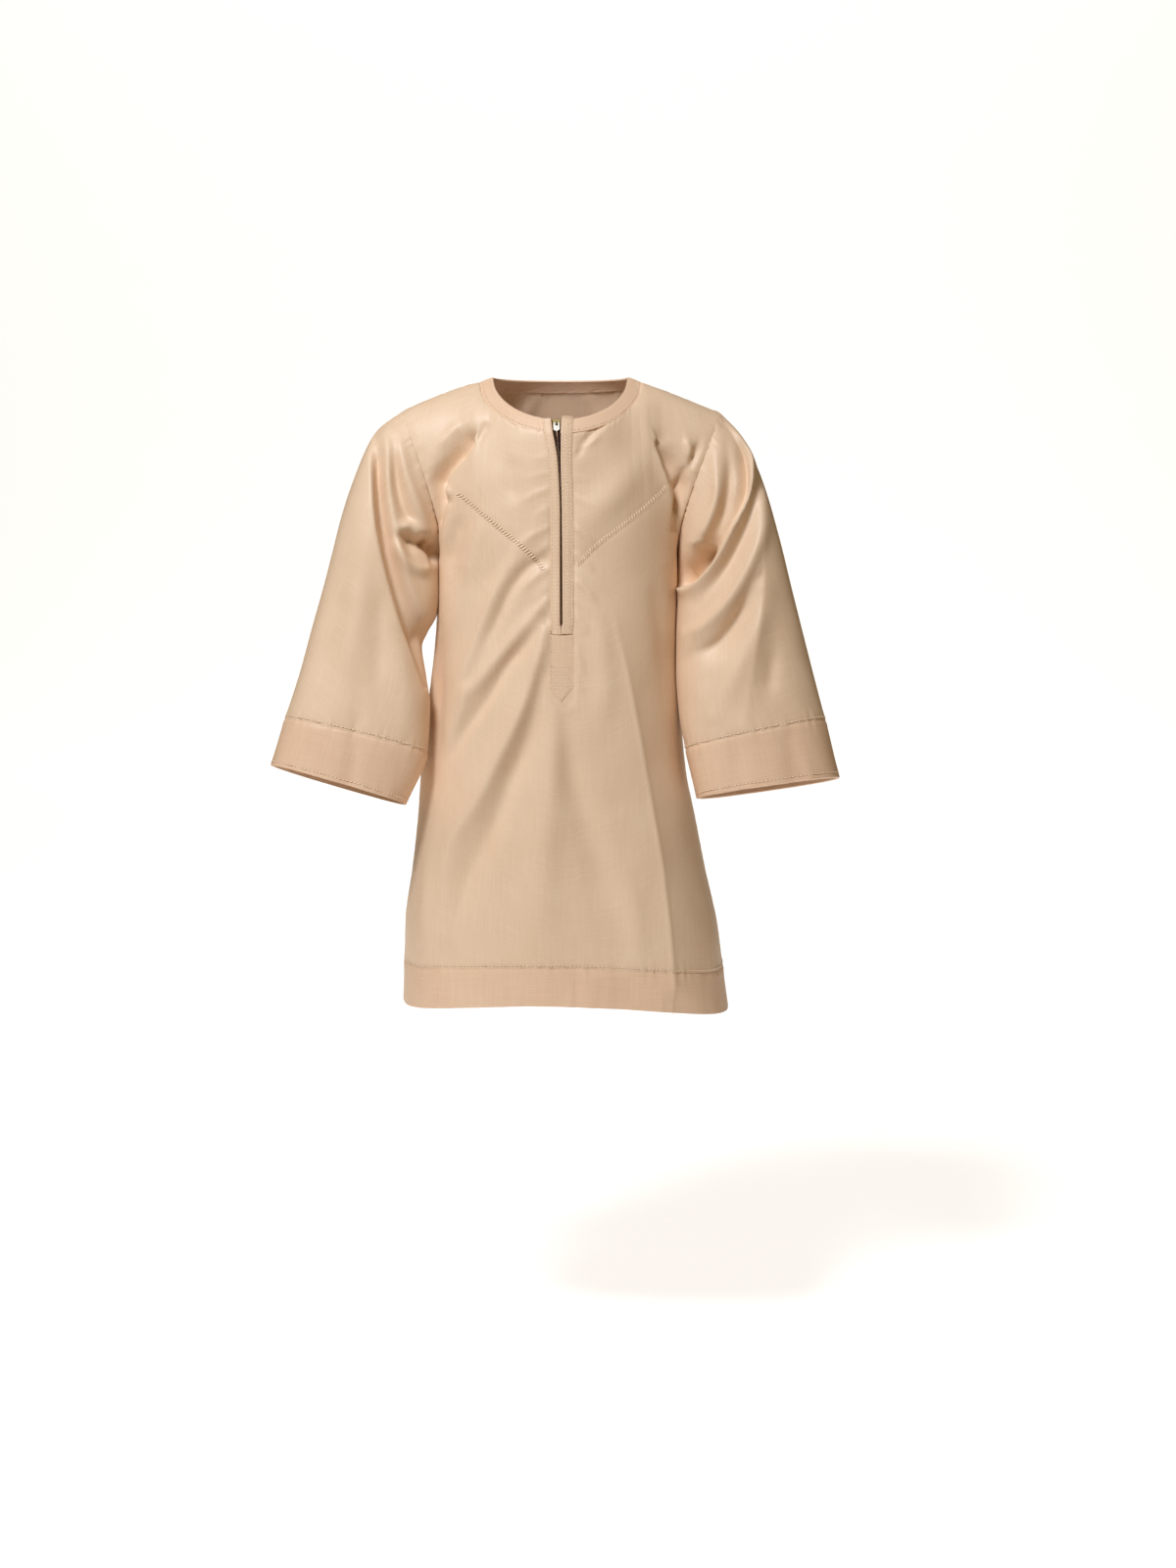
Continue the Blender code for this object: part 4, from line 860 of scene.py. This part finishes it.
SLEEVE_CREASES = {
    ("right", "front"): (
        edge(4.5, 13, -11.0, 12, 4.0, (-135, -43), (-134, -59), (-131, -98), (-123, -136), (-112, -175),
             (-98, -217), start=0.2, end=0.5, spread=1.2, lean=0.22),
        soft(6.0, 4.2, (-126, -35), (-124, -51), (-122, -79), (-117, -108), (-109, -138), (-98, -166)),
        soft(-4.5, 3.6, (-120, -40), (-117, -70), (-110, -93), (-96, -108)),
        soft(3.6, 4, (-119, -34), (-112, -61), (-102, -87), (-93, -108)),
        soft(4.6, 3.6, (-118, -104), (-107, -100), (-95, -110)),
        soft(-9.0, 4.4, (-113, -107), (-106, -112), (-98, -113), start=0.6, end=0.9),
        soft(4.2, 4, (-114, -103), (-116, -114), (-109, -126), (-98, -132), (-94, -124)),
        soft(-12.0, 4, (-97, -115), (-92, -120), (-90, -125), start=0.8, end=0.9),
        soft(2.4, 9, (-141, -75), (-145, -144), (-155, -213)),
        soft(-2.0, 7, (-127, -130), (-130, -171), (-133, -227)),
        soft(-2.6, 9, (-155, -117), (-164, -172), (-176, -220)),
        soft(-1.6, 6, (-144, -213), (-148, -254), (-152, -282), end=0.8),
        soft(2.4, 8, (-119, -172), (-112, -214), (-108, -256)),
    ),
    ("left", "front"): (
        edge(-6.0, 12, 6.5, 5.5, 1.8, (118, -26), (127, -38), (134, -50), (136, -63), (134, -80), (122, -102),
             (109, -126), (96, -141), (87, -147), start=0.15, end=0.8, lean=-0.2),
        soft(-18.0, 9, (116, -107), (108, -118), (102, -127), (96, -135), (90, -141), start=0.15, end=0.9,
             right_reach=3.2),
        soft(3.4, 2.4, (96, -113), (104, -112), (114, -115), start=0.6),
        soft(-5.5, 4.5, (143, -66), (140, -79), (132, -103), (119, -129), (98, -156)),
        soft(6.0, 4.5, (146, -79), (144, -103), (133, -131), (117, -156), (99, -174), (90, -179),
             right_reach=6),
        soft(-7.0, 5, (140, -139), (129, -162), (113, -183), (93, -194), right_reach=9),
        soft(4.2, 7, (144, -144), (139, -172), (126, -203), (115, -234), right_reach=9),
        soft(4.6, 12, (146, -85), (146, -135), (143, -163), (138, -201), (132, -240), keen=1.0, end=0.5),
        soft(5.0, 4, (111, -50), (112, -79), (103, -104), (95, -114)),
        soft(-4.5, 3.6, (120, -42), (121, -68), (117, -88), (108, -108)),
        soft(-2.4, 6, (153, -183), (151, -203), (148, -222)),
        soft(1.8, 8, (102, -208), (107, -228), (110, -245)),
        soft(-1.8, 7, (124, -240), (127, -266), (129, -285), end=0.8),
        soft(-1.8, 7, (160, -238), (166, -259), (169, -278), end=0.8),
    ),
    ("right", "back"): (
        soft(-4.5, 8, (-118, -50), (-124, -84), (-118, -124), (-104, -160)),
        soft(4.2, 7, (-130, -56), (-138, -96), (-132, -142), (-112, -180)),
        soft(4.0, 9, (-144, -86), (-146, -150), (-140, -200), (-128, -240), spread=1.5),
        soft(-3.6, 8, (-118, -170), (-132, -204), (-150, -244), spread=1.4),
        soft(2.0, 6, (-158, -120), (-168, -180), (-178, -230)),
    ),
    ("left", "back"): (
        soft(-4.5, 8, (120, -52), (122, -90), (114, -130), (98, -162)),
        soft(4.4, 7, (130, -60), (136, -100), (128, -146), (106, -184)),
        soft(4.2, 9, (142, -90), (142, -150), (132, -204), (118, -244), spread=1.5),
        soft(-3.6, 8, (112, -176), (128, -210), (150, -250), spread=1.4),
        soft(2.0, 6, (150, -124), (160, -186), (168, -236)),
    ),
}


def sleeve_loop(side, along, t):
    """The smooth tube of a sleeve; t runs round it: 0 outer edge, 0.5 front, 1 inner edge, 1.5 back."""
    rows = SLEEVES[side]
    table = eased([row.along for row in rows], [row[1:] for row in rows], along)
    outer_x, outer_z, inner_x, inner_z, middle_y, half_depth, raised = (table[..., i] for i in range(7))
    turn = t * math.pi
    wide = (np.cos(turn) - SLEEVE_SQUARENESS * np.cos(3 * turn)) / (1 - SLEEVE_SQUARENESS)
    deep = (np.sin(turn) + SLEEVE_SQUARENESS * np.sin(3 * turn)) / (1 - SLEEVE_SQUARENESS)
    x = (outer_x + inner_x) / 2 + (outer_x - inner_x) / 2 * wide
    z = (outer_z + inner_z) / 2 + (outer_z - inner_z) / 2 * wide + raised * deep
    return np.stack([SIDE_SIGN[side] * x, middle_y - half_depth * deep, z], axis=-1)


def sleeve_points(side, along, t):
    """A sleeve's outer face: the tube, drawn on to the armhole at its top."""
    along, t = np.broadcast_arrays(np.asarray(along, float), np.asarray(t, float))
    t = np.mod(t, 2.0)
    fade = np.clip(1.0 - along / ARMHOLE_REACH, 0.0, 1.0)[..., None] ** 2
    return sleeve_loop(side, along, t) + (armhole(side, t) - sleeve_loop(side, 0.0 * along, t)) * fade


def sleeve_normals(side, along, t):
    """Outward normals of a sleeve's outer face."""
    along, t = np.broadcast_arrays(np.asarray(along, float), np.asarray(t, float))
    round_it = sleeve_points(side, along, t + NORMAL_STEP) - sleeve_points(side, along, t - NORMAL_STEP)
    above = np.maximum(along - NORMAL_STEP, 0.0)
    below = np.minimum(along + NORMAL_STEP, 1.0)
    down = sleeve_points(side, below, t) - sleeve_points(side, above, t)
    return unit(np.cross(round_it, down) * SIDE_SIGN[side])


def raise_sleeve(side, points, normals, out=0.0):
    """A sleeve's points moved by its creases, mostly front to back, which fade out at its armhole."""
    share = smoothstep(armhole_distance(side, points) / 5.0)
    moved = points + normals * out
    toward = unit(normals * np.array([0.35, 1.0, 1.0]))
    for face, sign in FACE_SIGN.items():
        lift, shift = crease_lift(SLEEVE_CREASES[side, face], points[..., 0], points[..., 2])
        here = share * facing(normals, sign)
        lift += unevenness(points, 0.22, 42.0, 5.0)
        moved = moved + toward * (lift * here)[..., None]
        moved[..., 0] += shift[..., 0] * here
        moved[..., 2] += shift[..., 1] * here
    return moved


def sleeve_sheet(side, along, columns):
    """Points, normals and grain lengths of a stretch of sleeve, its first column at the outer edge."""
    t = np.linspace(0.0, 2.0, columns, endpoint=False)
    along, t = np.meshgrid(along, t, indexing="ij")
    points = sleeve_points(side, along, t)
    normals = sleeve_normals(side, along, t)
    points = raise_sleeve(side, points, normals)
    wrapped = np.concatenate([points, points[:, :1]], axis=1)
    return points, normals, arc(wrapped, 1), arc(wrapped, 0), t


SLEEVE_ROWS = 120
SLEEVE_COLUMNS = 176
for side in SIDE_SIGN:
    along = np.linspace(0.0, CUFF_SEAM, SLEEVE_ROWS + 1)
    points, normals, across, down, t = sleeve_sheet(side, along, SLEEVE_COLUMNS)
    from_top = down[:, :-1]
    from_cuff = down[-1:, :-1] - from_top
    from_underarm = np.abs(t - 1.0) * across[:, -1:] / 2
    sink = -SEAM_TUCK * np.exp(-((from_top / SEAM_REACH) ** 2))
    sink -= SEAM_TUCK * np.exp(-((from_cuff / SEAM_REACH) ** 2)) + 0.6 * np.exp(-((from_underarm / 1.5) ** 2))
    sink += puckers(across[:, :-1], from_top, 0.35, 8.0, 6.0, 5.0)
    sink += puckers(across[:, :-1], from_cuff, 0.55, 9.0, 7.0, 6.0)
    sink += puckers(across[:, :-1], from_cuff, 0.35, 4.4, 3.5, 3.0)
    points = points + normals * sink[..., None]
    sleeve = cloth(f"sleeve_cloth_{side}", points, points - normals * CLOTH, across, down, closed=True)
    sleeve.data.materials.append(panel_cotton)
    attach(sleeve, "root")
    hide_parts(f"sleeve_{side}")


# Cuffs: bands of the cotton doubled to about 36 mm and set on the sleeves' ends, with a row of stitches along
# their lower edge.
CUFF_ROWS = 18
CUFF_COLUMNS = 176
for side in SIDE_SIGN:
    along = np.linspace(CUFF_SEAM, 1.0, CUFF_ROWS + 1)
    points, normals, across, down, t = sleeve_sheet(side, along, CUFF_COLUMNS)
    from_top = down[:, :-1]
    from_edge = down[-1:, :-1] - from_top
    sink = 0.35 - 0.6 * np.exp(-((from_top / 1.2) ** 2))
    sink += puckers(across[:, :-1], from_top, 0.4, 9.0, 6.0, 6.0)
    sink += puckers(across[:, :-1], from_edge, 0.3, 15.0, 10.0, 7.0)
    points = points + normals * sink[..., None]
    cuff = cloth(f"cuff_band_{side}", points, points - normals * BAND_WALL, across, down, closed=True)
    cuff.data.materials.append(band_cotton)
    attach(cuff, "root")
    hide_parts(f"cuff_{side}")


# Neck binding: a bias strip folded over the neck edge and topstitched, about 10 mm wide, ending at the slit.
BINDING_ROWS = 12
BINDING_BACK_COLUMNS = 50
BINDING_WALL = 1.5
binding_rows = np.linspace(-1.0, 0.0, BINDING_ROWS + 1)
binding_height = body_points("front", 0.0 * binding_rows, binding_rows)[..., 2]
binding_middle, binding_half = slit_at(binding_height)
binding_right = find_on_front(binding_middle - binding_half, binding_height)[0]
binding_left = find_on_front(binding_middle + binding_half, binding_height)[0]
neck_point = np.full((len(binding_rows), 1), NECK_SHARE)
back_run = neck_shares(BINDING_BACK_COLUMNS, 0.0 * binding_rows)
stretches = (
    ("front", -np.hstack([neck_point, neck_shares(FRONT_COLUMNS, -binding_right)])[:, ::-1]),
    ("back", np.hstack([-back_run, back_run[:, -2::-1]])),
    ("front", np.hstack([neck_point, neck_shares(FRONT_COLUMNS, binding_left)])),
)
binding_v = binding_rows[:, None]
binding_points = np.hstack([body_points(face, a, binding_v) for face, a in stretches])
binding_normals = np.hstack([body_normals(face, a, binding_v) for face, a in stretches])
binding_across = arc(binding_points, 1)
binding_down = arc(binding_points, 0)
binding_out = 0.25 * np.sin(math.pi * np.clip((binding_rows + 1.0), 0.0, 1.0))[:, None] ** 0.5
binding_out = binding_out + puckers(binding_across, binding_down[-1:] - binding_down, 0.2, 7.0, 5.0, 8.0)
binding_points = binding_points + binding_normals * binding_out[..., None]
binding_inner = binding_points - binding_normals * BINDING_WALL
binding = cloth("neck_binding_cloth", binding_points, binding_inner, binding_across, binding_down)
binding.data.materials.append(band_cotton)
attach(binding, "root")
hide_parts("neck_binding")


# Placket: two narrow welts of the cotton beside the slit, the left one wider and standing a little above the
# neck, and a pointed tab below them that covers the slit's end. All three are sewn flat to the front, and
# the dense stitching makes their cotton look a little duller.
placket_cotton = cotton("placket cotton", "#edd1b5", "#e1be9f", 0.52)
WELT_TILT = 1.1
WELT_WALL = 0.6
WELT_WIDTH = {"right": 6.0, "left": 8.0}
WELT_END = -174.0
WELT_TOP_RISE = {"right": 0.0, "left": 2.0}
LAID = 0.05
neck_top = float(body_points("front", 0.0, -1.0)[2])


def laid_strip(name, x, z, thickness, tilt, edge_drop):
    """A strip that lies on the front, with a soft crown, and stands up straight where it passes the neck.

    tilt raises its first column, and edge_drop thins its edges."""
    outer, normals = on_front(x, np.minimum(z, neck_top), LAID + thickness)
    outer[..., 2] += np.maximum(z - neck_top, 0.0)
    inner = outer - normals * thickness
    width = np.linspace(-1.0, 1.0, x.shape[1])
    crown = 0.18 * (1.0 - width**2) - edge_drop * np.abs(width) ** 8 + tilt * (1.0 - width) / 2
    outer = outer + normals * crown[None, :, None]
    across = arc(outer, 1)
    strip = cloth(name, outer, inner, across, arc(outer, 0))
    strip.data.materials.append(placket_cotton)
    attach(strip, "root")
    return strip


for side, sign in SIDE_SIGN.items():
    welt_z = np.linspace(neck_top + WELT_TOP_RISE[side], WELT_END, 100)
    welt_middle, welt_half = slit_at(welt_z)
    closed_share = smoothstep((SLIT_END - welt_z) / 3.0 + 0.5)
    welt_edge = welt_middle + sign * (welt_half + (0.15 - welt_half) * closed_share)
    welt_x = welt_edge[:, None] + sign * WELT_WIDTH[side] * np.linspace(0.0, 1.0, 7)
    welt_z = np.broadcast_to(welt_z[:, None], welt_x.shape)
    welt = laid_strip(f"placket_welt_{side}", welt_x, welt_z, WELT_WALL, WELT_TILT, 0.12)
    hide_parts(f"placket_{side}")

TAB_HALF_WIDTH = 9.5
TAB_TIP_HALF_WIDTH = 0.6
TAB_WALL = 0.35
TAB_TOP = -174.6
TAB_SHOULDER = -212.0
tab_z = np.concatenate([np.linspace(TAB_TOP, TAB_SHOULDER, 26), np.linspace(TAB_SHOULDER, TAB_POINT, 9)[1:]])
above_tip = (tab_z - TAB_POINT) / (TAB_SHOULDER - TAB_POINT)
tab_half = TAB_TIP_HALF_WIDTH + (TAB_HALF_WIDTH - TAB_TIP_HALF_WIDTH) * np.minimum(above_tip, 1.0)
tab_x = tab_half[:, None] * np.linspace(-1.0, 1.0, 15)
tab_z = np.broadcast_to(tab_z[:, None], tab_x.shape)
tab = laid_strip("placket_tab_cloth", tab_x, tab_z, TAB_WALL, 0.0, 0.3)
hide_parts("placket_tab")


# Zip: two woven polyester tapes sewn behind the slit, each with a nylon coil along its edge. The coils mesh
# below the slider and show as a dark line in the slit.
tape_brown = bpy.data.materials.new("woven polyester tape")
tape_brown.use_nodes = True
tape_shader = tape_brown.node_tree.nodes["Principled BSDF"]
tape_grain = add(tape_brown, "ShaderNodeTexCoord").outputs["Object"]
tape_twill = add(tape_brown, "ShaderNodeTexWave", {"wave_type": "BANDS", "bands_direction": "Z"},
                 Vector=tape_grain, Scale=0.5 / 0.0009, Distortion=1.0)
tape_ramp = add(tape_brown, "ShaderNodeValToRGB", Fac=tape_twill.outputs[1])
tape_ramp.color_ramp.elements[0].color = linear("#2a1710")
tape_ramp.color_ramp.elements[1].color = linear("#4a2c1e")
tape_brown.node_tree.links.new(tape_ramp.outputs["Color"], tape_shader.inputs["Base Color"])
tape_shader.inputs["Roughness"].default_value = 0.8
for side in SIDE_SIGN:
    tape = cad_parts[f"zip_tape_{side}"]
    tape.data.materials.clear()
    tape.data.materials.append(tape_brown)

coil_brown = bpy.data.materials.new("nylon coil")
coil_brown.use_nodes = True
coil_shader = coil_brown.node_tree.nodes["Principled BSDF"]
coil_place = add(coil_brown, "ShaderNodeTexCoord").outputs["Object"]
coil_shade = add(coil_brown, "ShaderNodeTexNoise", Vector=coil_place, Scale=1 / 0.0006)
coil_ramp = add(coil_brown, "ShaderNodeValToRGB", Fac=coil_shade.outputs[0])
coil_ramp.color_ramp.elements[0].color = linear("#33190f")
coil_ramp.color_ramp.elements[1].color = linear("#5a3222")
coil_brown.node_tree.links.new(coil_ramp.outputs["Color"], coil_shader.inputs["Base Color"])
coil_shader.inputs["Roughness"].default_value = 0.35
COIL_PITCH = 1.3
COIL_DEPTH = -1.5
COIL_THICKNESS = 0.95
coil_height = np.arange(-31.0, -171.0, -COIL_PITCH)


def beads(name, starts, ends, outs, thickness, material):
    """Short rounded threads from starts to ends, in mm, as one mesh."""
    run = ends - starts
    length = np.linalg.norm(run, axis=-1, keepdims=True)
    run = run / np.maximum(length, 1e-9)
    across = unit(np.cross(run, outs))
    outs = unit(np.cross(across, run))
    ring_share = np.array([0.0, 0.16, 0.5, 0.84, 1.0])
    ring_size = np.array([0.0, 0.8, 1.0, 0.8, 0.0])
    corners = np.array([[1, 0], [0, 1], [-1, 0], [0, -1]]) * thickness / 2
    vertices = []
    for share, size in zip(ring_share[1:-1], ring_size[1:-1]):
        middle = starts + run * length * share
        for wide, deep in corners * size:
            vertices.append(middle + across * wide + outs * deep)
    vertices += [starts, ends]
    count = len(starts)
    vertices = np.stack(vertices, axis=1).reshape(-1, 3) * MM
    faces = []
    for ring in range(2):
        for i in range(4):
            j = (i + 1) % 4
            faces.append([4 * ring + i, 4 * ring + j, 4 * ring + 4 + j, 4 * ring + 4 + i])
    for i in range(4):
        j = (i + 1) % 4
        faces.append([12, j, i])
        faces.append([13, 8 + i, 8 + j])
    all_faces = [[corner + 14 * k for corner in face] for k in range(count) for face in faces]
    mesh = bpy.data.meshes.new(name)
    mesh.from_pydata(vertices.tolist(), [], all_faces)
    mesh.materials.append(material)
    piece = outward_piece(name, mesh)
    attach(piece, "root")
    return piece


for side, sign in SIDE_SIGN.items():
    coil_middle = slit_at(coil_height)[0]
    coil_parting = eased([-34.0, -29.0], [[0.1], [1.2]], coil_height)[..., 0]
    inner_x = coil_middle + sign * (coil_parting - 0.35)
    outer_x = coil_middle + sign * (coil_parting + 1.7)
    shift = 0.0 if side == "right" else COIL_PITCH / 2
    coil_starts, coil_outs = on_front(inner_x, coil_height - shift, COIL_DEPTH)
    coil_ends = on_front(outer_x, coil_height - shift - 0.2, COIL_DEPTH - 0.2)[0]
    beads(f"zip_coil_{side}", coil_starts, coil_ends, coil_outs, COIL_THICKNESS, coil_brown)


# Slider and pull: die-cast zinc, the slider plated in dull antique brass and the pull in satin nickel, each
# with a slight cloudiness that breaks up its reflections.
def plated(name, colour, roughness):
    material = bpy.data.materials.new(name)
    material.use_nodes = True
    shader = material.node_tree.nodes["Principled BSDF"]
    place = add(material, "ShaderNodeTexCoord").outputs["Object"]
    wear = add(material, "ShaderNodeTexNoise", Vector=place, Scale=1 / 0.0012, Detail=4.0)
    wear_range = add(material, "ShaderNodeMapRange", Value=wear.outputs[0], To_Min=roughness - 0.08,
                     To_Max=roughness + 0.12)
    material.node_tree.links.new(wear_range.outputs[0], shader.inputs["Roughness"])
    shader.inputs["Base Color"].default_value = linear(colour)
    shader.inputs["Metallic"].default_value = 1.0
    return material


for node, slot, material in (
    ("zip_slider", "slider_metal", plated("antique brass plate", "#8a7a52", 0.38)),
    ("zip_pull", "pull_metal", plated("satin nickel plate", "#d6d2ca", 0.3)),
):
    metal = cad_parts[node]
    metal.data.materials.clear()
    metal.data.materials.append(material)


# Sewing: topstitches in matching polyester thread along the binding, the placket, the bands and the cuffs,
# and two slanting rows of ornamental stitch that run from the armholes to the placket as a V. The thread is
# drawn 0.6 to 1 mm thick, about twice its real size, and coloured paler than the cloth, up to near white, as
# a painted highlight on the raised stitches, so that its pale dashes show from afar.
highlit_thread = bpy.data.materials.new("peach polyester thread with painted highlight")
highlit_thread.use_nodes = True
thread_shader = highlit_thread.node_tree.nodes["Principled BSDF"]
thread_place = add(highlit_thread, "ShaderNodeTexCoord").outputs["Object"]
thread_twist = add(highlit_thread, "ShaderNodeTexNoise", Vector=thread_place, Scale=1 / 0.0005)
# The ramp mixes the matching peach with near white: a painted highlight where the stitches catch the light.
thread_highlight_ramp = add(highlit_thread, "ShaderNodeValToRGB", Fac=thread_twist.outputs[0])
thread_highlight_ramp.color_ramp.elements[0].color = linear("#efd2b3")
thread_highlight_ramp.color_ramp.elements[1].color = linear("#fff1dd")
highlit_thread.node_tree.links.new(thread_highlight_ramp.outputs["Color"], thread_shader.inputs["Base Color"])
thread_shader.inputs["Roughness"].default_value = 0.45

# The dimples that the needle draws into the cloth between two stitches are drawn as beads a shade darker than
# the cloth, painted shade for the shadow in the dimples.
painted_hole_shade = bpy.data.materials.new("painted shade in needle holes")
painted_hole_shade.use_nodes = True
hole_shader = painted_hole_shade.node_tree.nodes["Principled BSDF"]
hole_place = add(painted_hole_shade, "ShaderNodeTexCoord").outputs["Object"]
hole_noise = add(painted_hole_shade, "ShaderNodeTexNoise", Vector=hole_place, Scale=1 / 0.0006)
painted_hole_shade_ramp = add(painted_hole_shade, "ShaderNodeValToRGB", Fac=hole_noise.outputs[0])
painted_hole_shade_ramp.color_ramp.elements[0].color = linear("#c0966f")
painted_hole_shade_ramp.color_ramp.elements[1].color = linear("#dab38d")
painted_hole_shade.node_tree.links.new(painted_hole_shade_ramp.outputs["Color"], hole_shader.inputs["Base Color"])
hole_shader.inputs["Roughness"].default_value = 0.9


def stitch_row(line, outs, length, gap, closed=False):
    """Starts and ends of stitches along a line of points."""
    if closed:
        line = np.vstack([line, line[:1]])
        outs = np.vstack([outs, outs[:1]])
    run = np.concatenate([[0.0], np.cumsum(np.linalg.norm(np.diff(line, axis=0), axis=-1))])
    starts_at = np.arange(gap / 2, run[-1] - length, length + gap)

    def at(values, where):
        return np.stack([np.interp(where, run, values[:, i]) for i in range(3)], axis=-1)

    return at(line, starts_at), at(line, starts_at + length), at(outs, starts_at + length / 2)


def sew(name, rows, thickness=0.7, holes=True):
    """One mesh of the stitches of several rows, and one of darker beads between them, painted shade in the
    needle holes.
    """
    starts, ends, outs = (np.vstack(parts) for parts in zip(*rows))
    beads(name, starts, ends, unit(outs), thickness, highlit_thread)
    if holes:
        gaps = [(row_ends[:-1], row_starts[1:], row_outs[1:]) for row_starts, row_ends, row_outs in rows]
        starts, ends, outs = (np.vstack(parts) for parts in zip(*gaps))
        sunk = unit(outs) * 0.1
        beads(f"{name}_holes", starts - sunk, ends - sunk, unit(outs), thickness * 0.7, painted_hole_shade)


def grid_row(points, normals, row, out):
    """One row of a grid of points, moved out, and the normals there."""
    return points[row] + normals[row] * out, normals[row]


rows = []
for face in FACE_SIGN:
    points, normals = (front_points, front_normals) if face == "front" else (back_points, back_normals)
    line, outs = grid_row(points, normals, -2, 0.35)
    rows.append(stitch_row(line, outs, 2.2, 0.7))
sew("hem_topstitch", rows)
line, outs = grid_row(binding_points, binding_normals, -3, 0.1)
sew("binding_topstitch", [stitch_row(line, outs, 1.9, 0.9)], 0.65)

welt_rows = []
for side, sign in SIDE_SIGN.items():
    welt_z = np.linspace(neck_top - 1.0, WELT_END + 1.0, 120)
    welt_middle, welt_half = slit_at(welt_z)
    for share in (0.16, 0.86):
        welt_x = welt_middle + sign * (welt_half + WELT_WIDTH[side] * share)
        line, outs = on_front(welt_x, welt_z, LAID + 0.75 + WELT_TILT * (1.0 - share))
        welt_rows.append(stitch_row(line, outs, 1.8, 0.8))
ladder_z = np.arange(neck_top - 3.0, WELT_END + 3.0, -2.2)
ladder_middle, ladder_half = slit_at(ladder_z)
ladder_in = ladder_middle + ladder_half + 2.2
ladder_out = ladder_middle + ladder_half + 5.8
ladder_starts, ladder_outs = on_front(ladder_in, ladder_z, LAID + 0.85 + WELT_TILT * 0.72)
ladder_ends = on_front(ladder_out, ladder_z - 1.2, LAID + 0.85 + WELT_TILT * 0.28)[0]
sew("placket_topstitch", welt_rows, 0.6)
sew("placket_ladder", [(ladder_starts, ladder_ends, ladder_outs)], 0.6, holes=False)

TAB_BAR_HALF_WIDTH = 8.6
tab_rows = []
for level in (-171.5, -173.0, -176.5, -186.5):
    bar_x = np.linspace(-TAB_BAR_HALF_WIDTH, TAB_BAR_HALF_WIDTH, 30)
    line, outs = on_front(bar_x, np.full(bar_x.shape, level), LAID + 0.55)
    tab_rows.append(stitch_row(line, outs, 1.4, 0.5))
for level in np.arange(-197.0, -220.0, -1.9):
    half = TAB_BAR_HALF_WIDTH * min(1.0, (level - TAB_POINT) / (TAB_SHOULDER - TAB_POINT))
    bar_x = np.linspace(-half, half, 20)
    line, outs = on_front(bar_x, np.full(bar_x.shape, level), LAID + 0.55)
    tab_rows.append(stitch_row(line, outs, 1.3, 0.5))
sew("tab_stitching", tab_rows, 0.6)

ORNAMENT = {
    "right": ((-74, -76), (-51, -94), (-23, -116), (-12, -130)),
    "left": ((76, -72), (70, -78), (48, -95), (26, -111), (11, -126)),
}
DASH_PITCH = 2.2
DASH_SLANT = 1.3
DASH_HALF_LENGTH = 1.9
dash_rows = []
hole_rows = []
for path in ORNAMENT.values():
    centre = smooth_path(path, 14)
    run = unit(np.gradient(centre, axis=0))
    beside = np.stack([-run[:, 1], run[:, 0]], axis=-1)
    length = np.concatenate([[0.0], np.cumsum(np.linalg.norm(np.diff(centre, axis=0), axis=-1))])
    for rows, first, out in ((dash_rows, 1.0, 0.35), (hole_rows, 2.1, -0.05)):
        at = np.arange(first, length[-1] - 2.0, DASH_PITCH)
        middle = np.stack([np.interp(at, length, centre[:, i]) for i in range(2)], axis=-1)
        slant = np.stack([np.interp(at + DASH_SLANT, length, centre[:, i]) for i in range(2)], axis=-1)
        side_step = np.stack([np.interp(at, length, beside[:, i]) for i in range(2)], axis=-1)
        low = middle - side_step * DASH_HALF_LENGTH
        high = slant + side_step * DASH_HALF_LENGTH
        dash_starts, dash_outs = on_front(low[:, 0], low[:, 1], out)
        dash_ends = on_front(high[:, 0], high[:, 1], out)[0]
        rows.append((dash_starts, dash_ends, dash_outs))
sew("ornamental_stitching", dash_rows, 1.0, holes=False)
# Between the ornament's dashes sit darker beads, painted shade in the needle holes.
hole_starts, hole_ends, hole_outs = (np.vstack(parts) for parts in zip(*hole_rows))
beads("ornamental_holes", hole_starts, hole_ends, unit(hole_outs), 0.28, painted_hole_shade)

cuff_rows = []
for side in SIDE_SIGN:
    for along, out in ((CUFF_SEAM - 0.009, 0.4), (0.99, 0.65)):
        t = np.linspace(0.0, 2.0, 200, endpoint=False)
        along_row = np.full(t.shape, along)
        points = sleeve_points(side, along_row, t)
        normals = sleeve_normals(side, along_row, t)
        points = raise_sleeve(side, points, normals, out)
        cuff_rows.append(stitch_row(points, normals, 2.2, 0.7, closed=True))
sew("cuff_topstitch", cuff_rows)
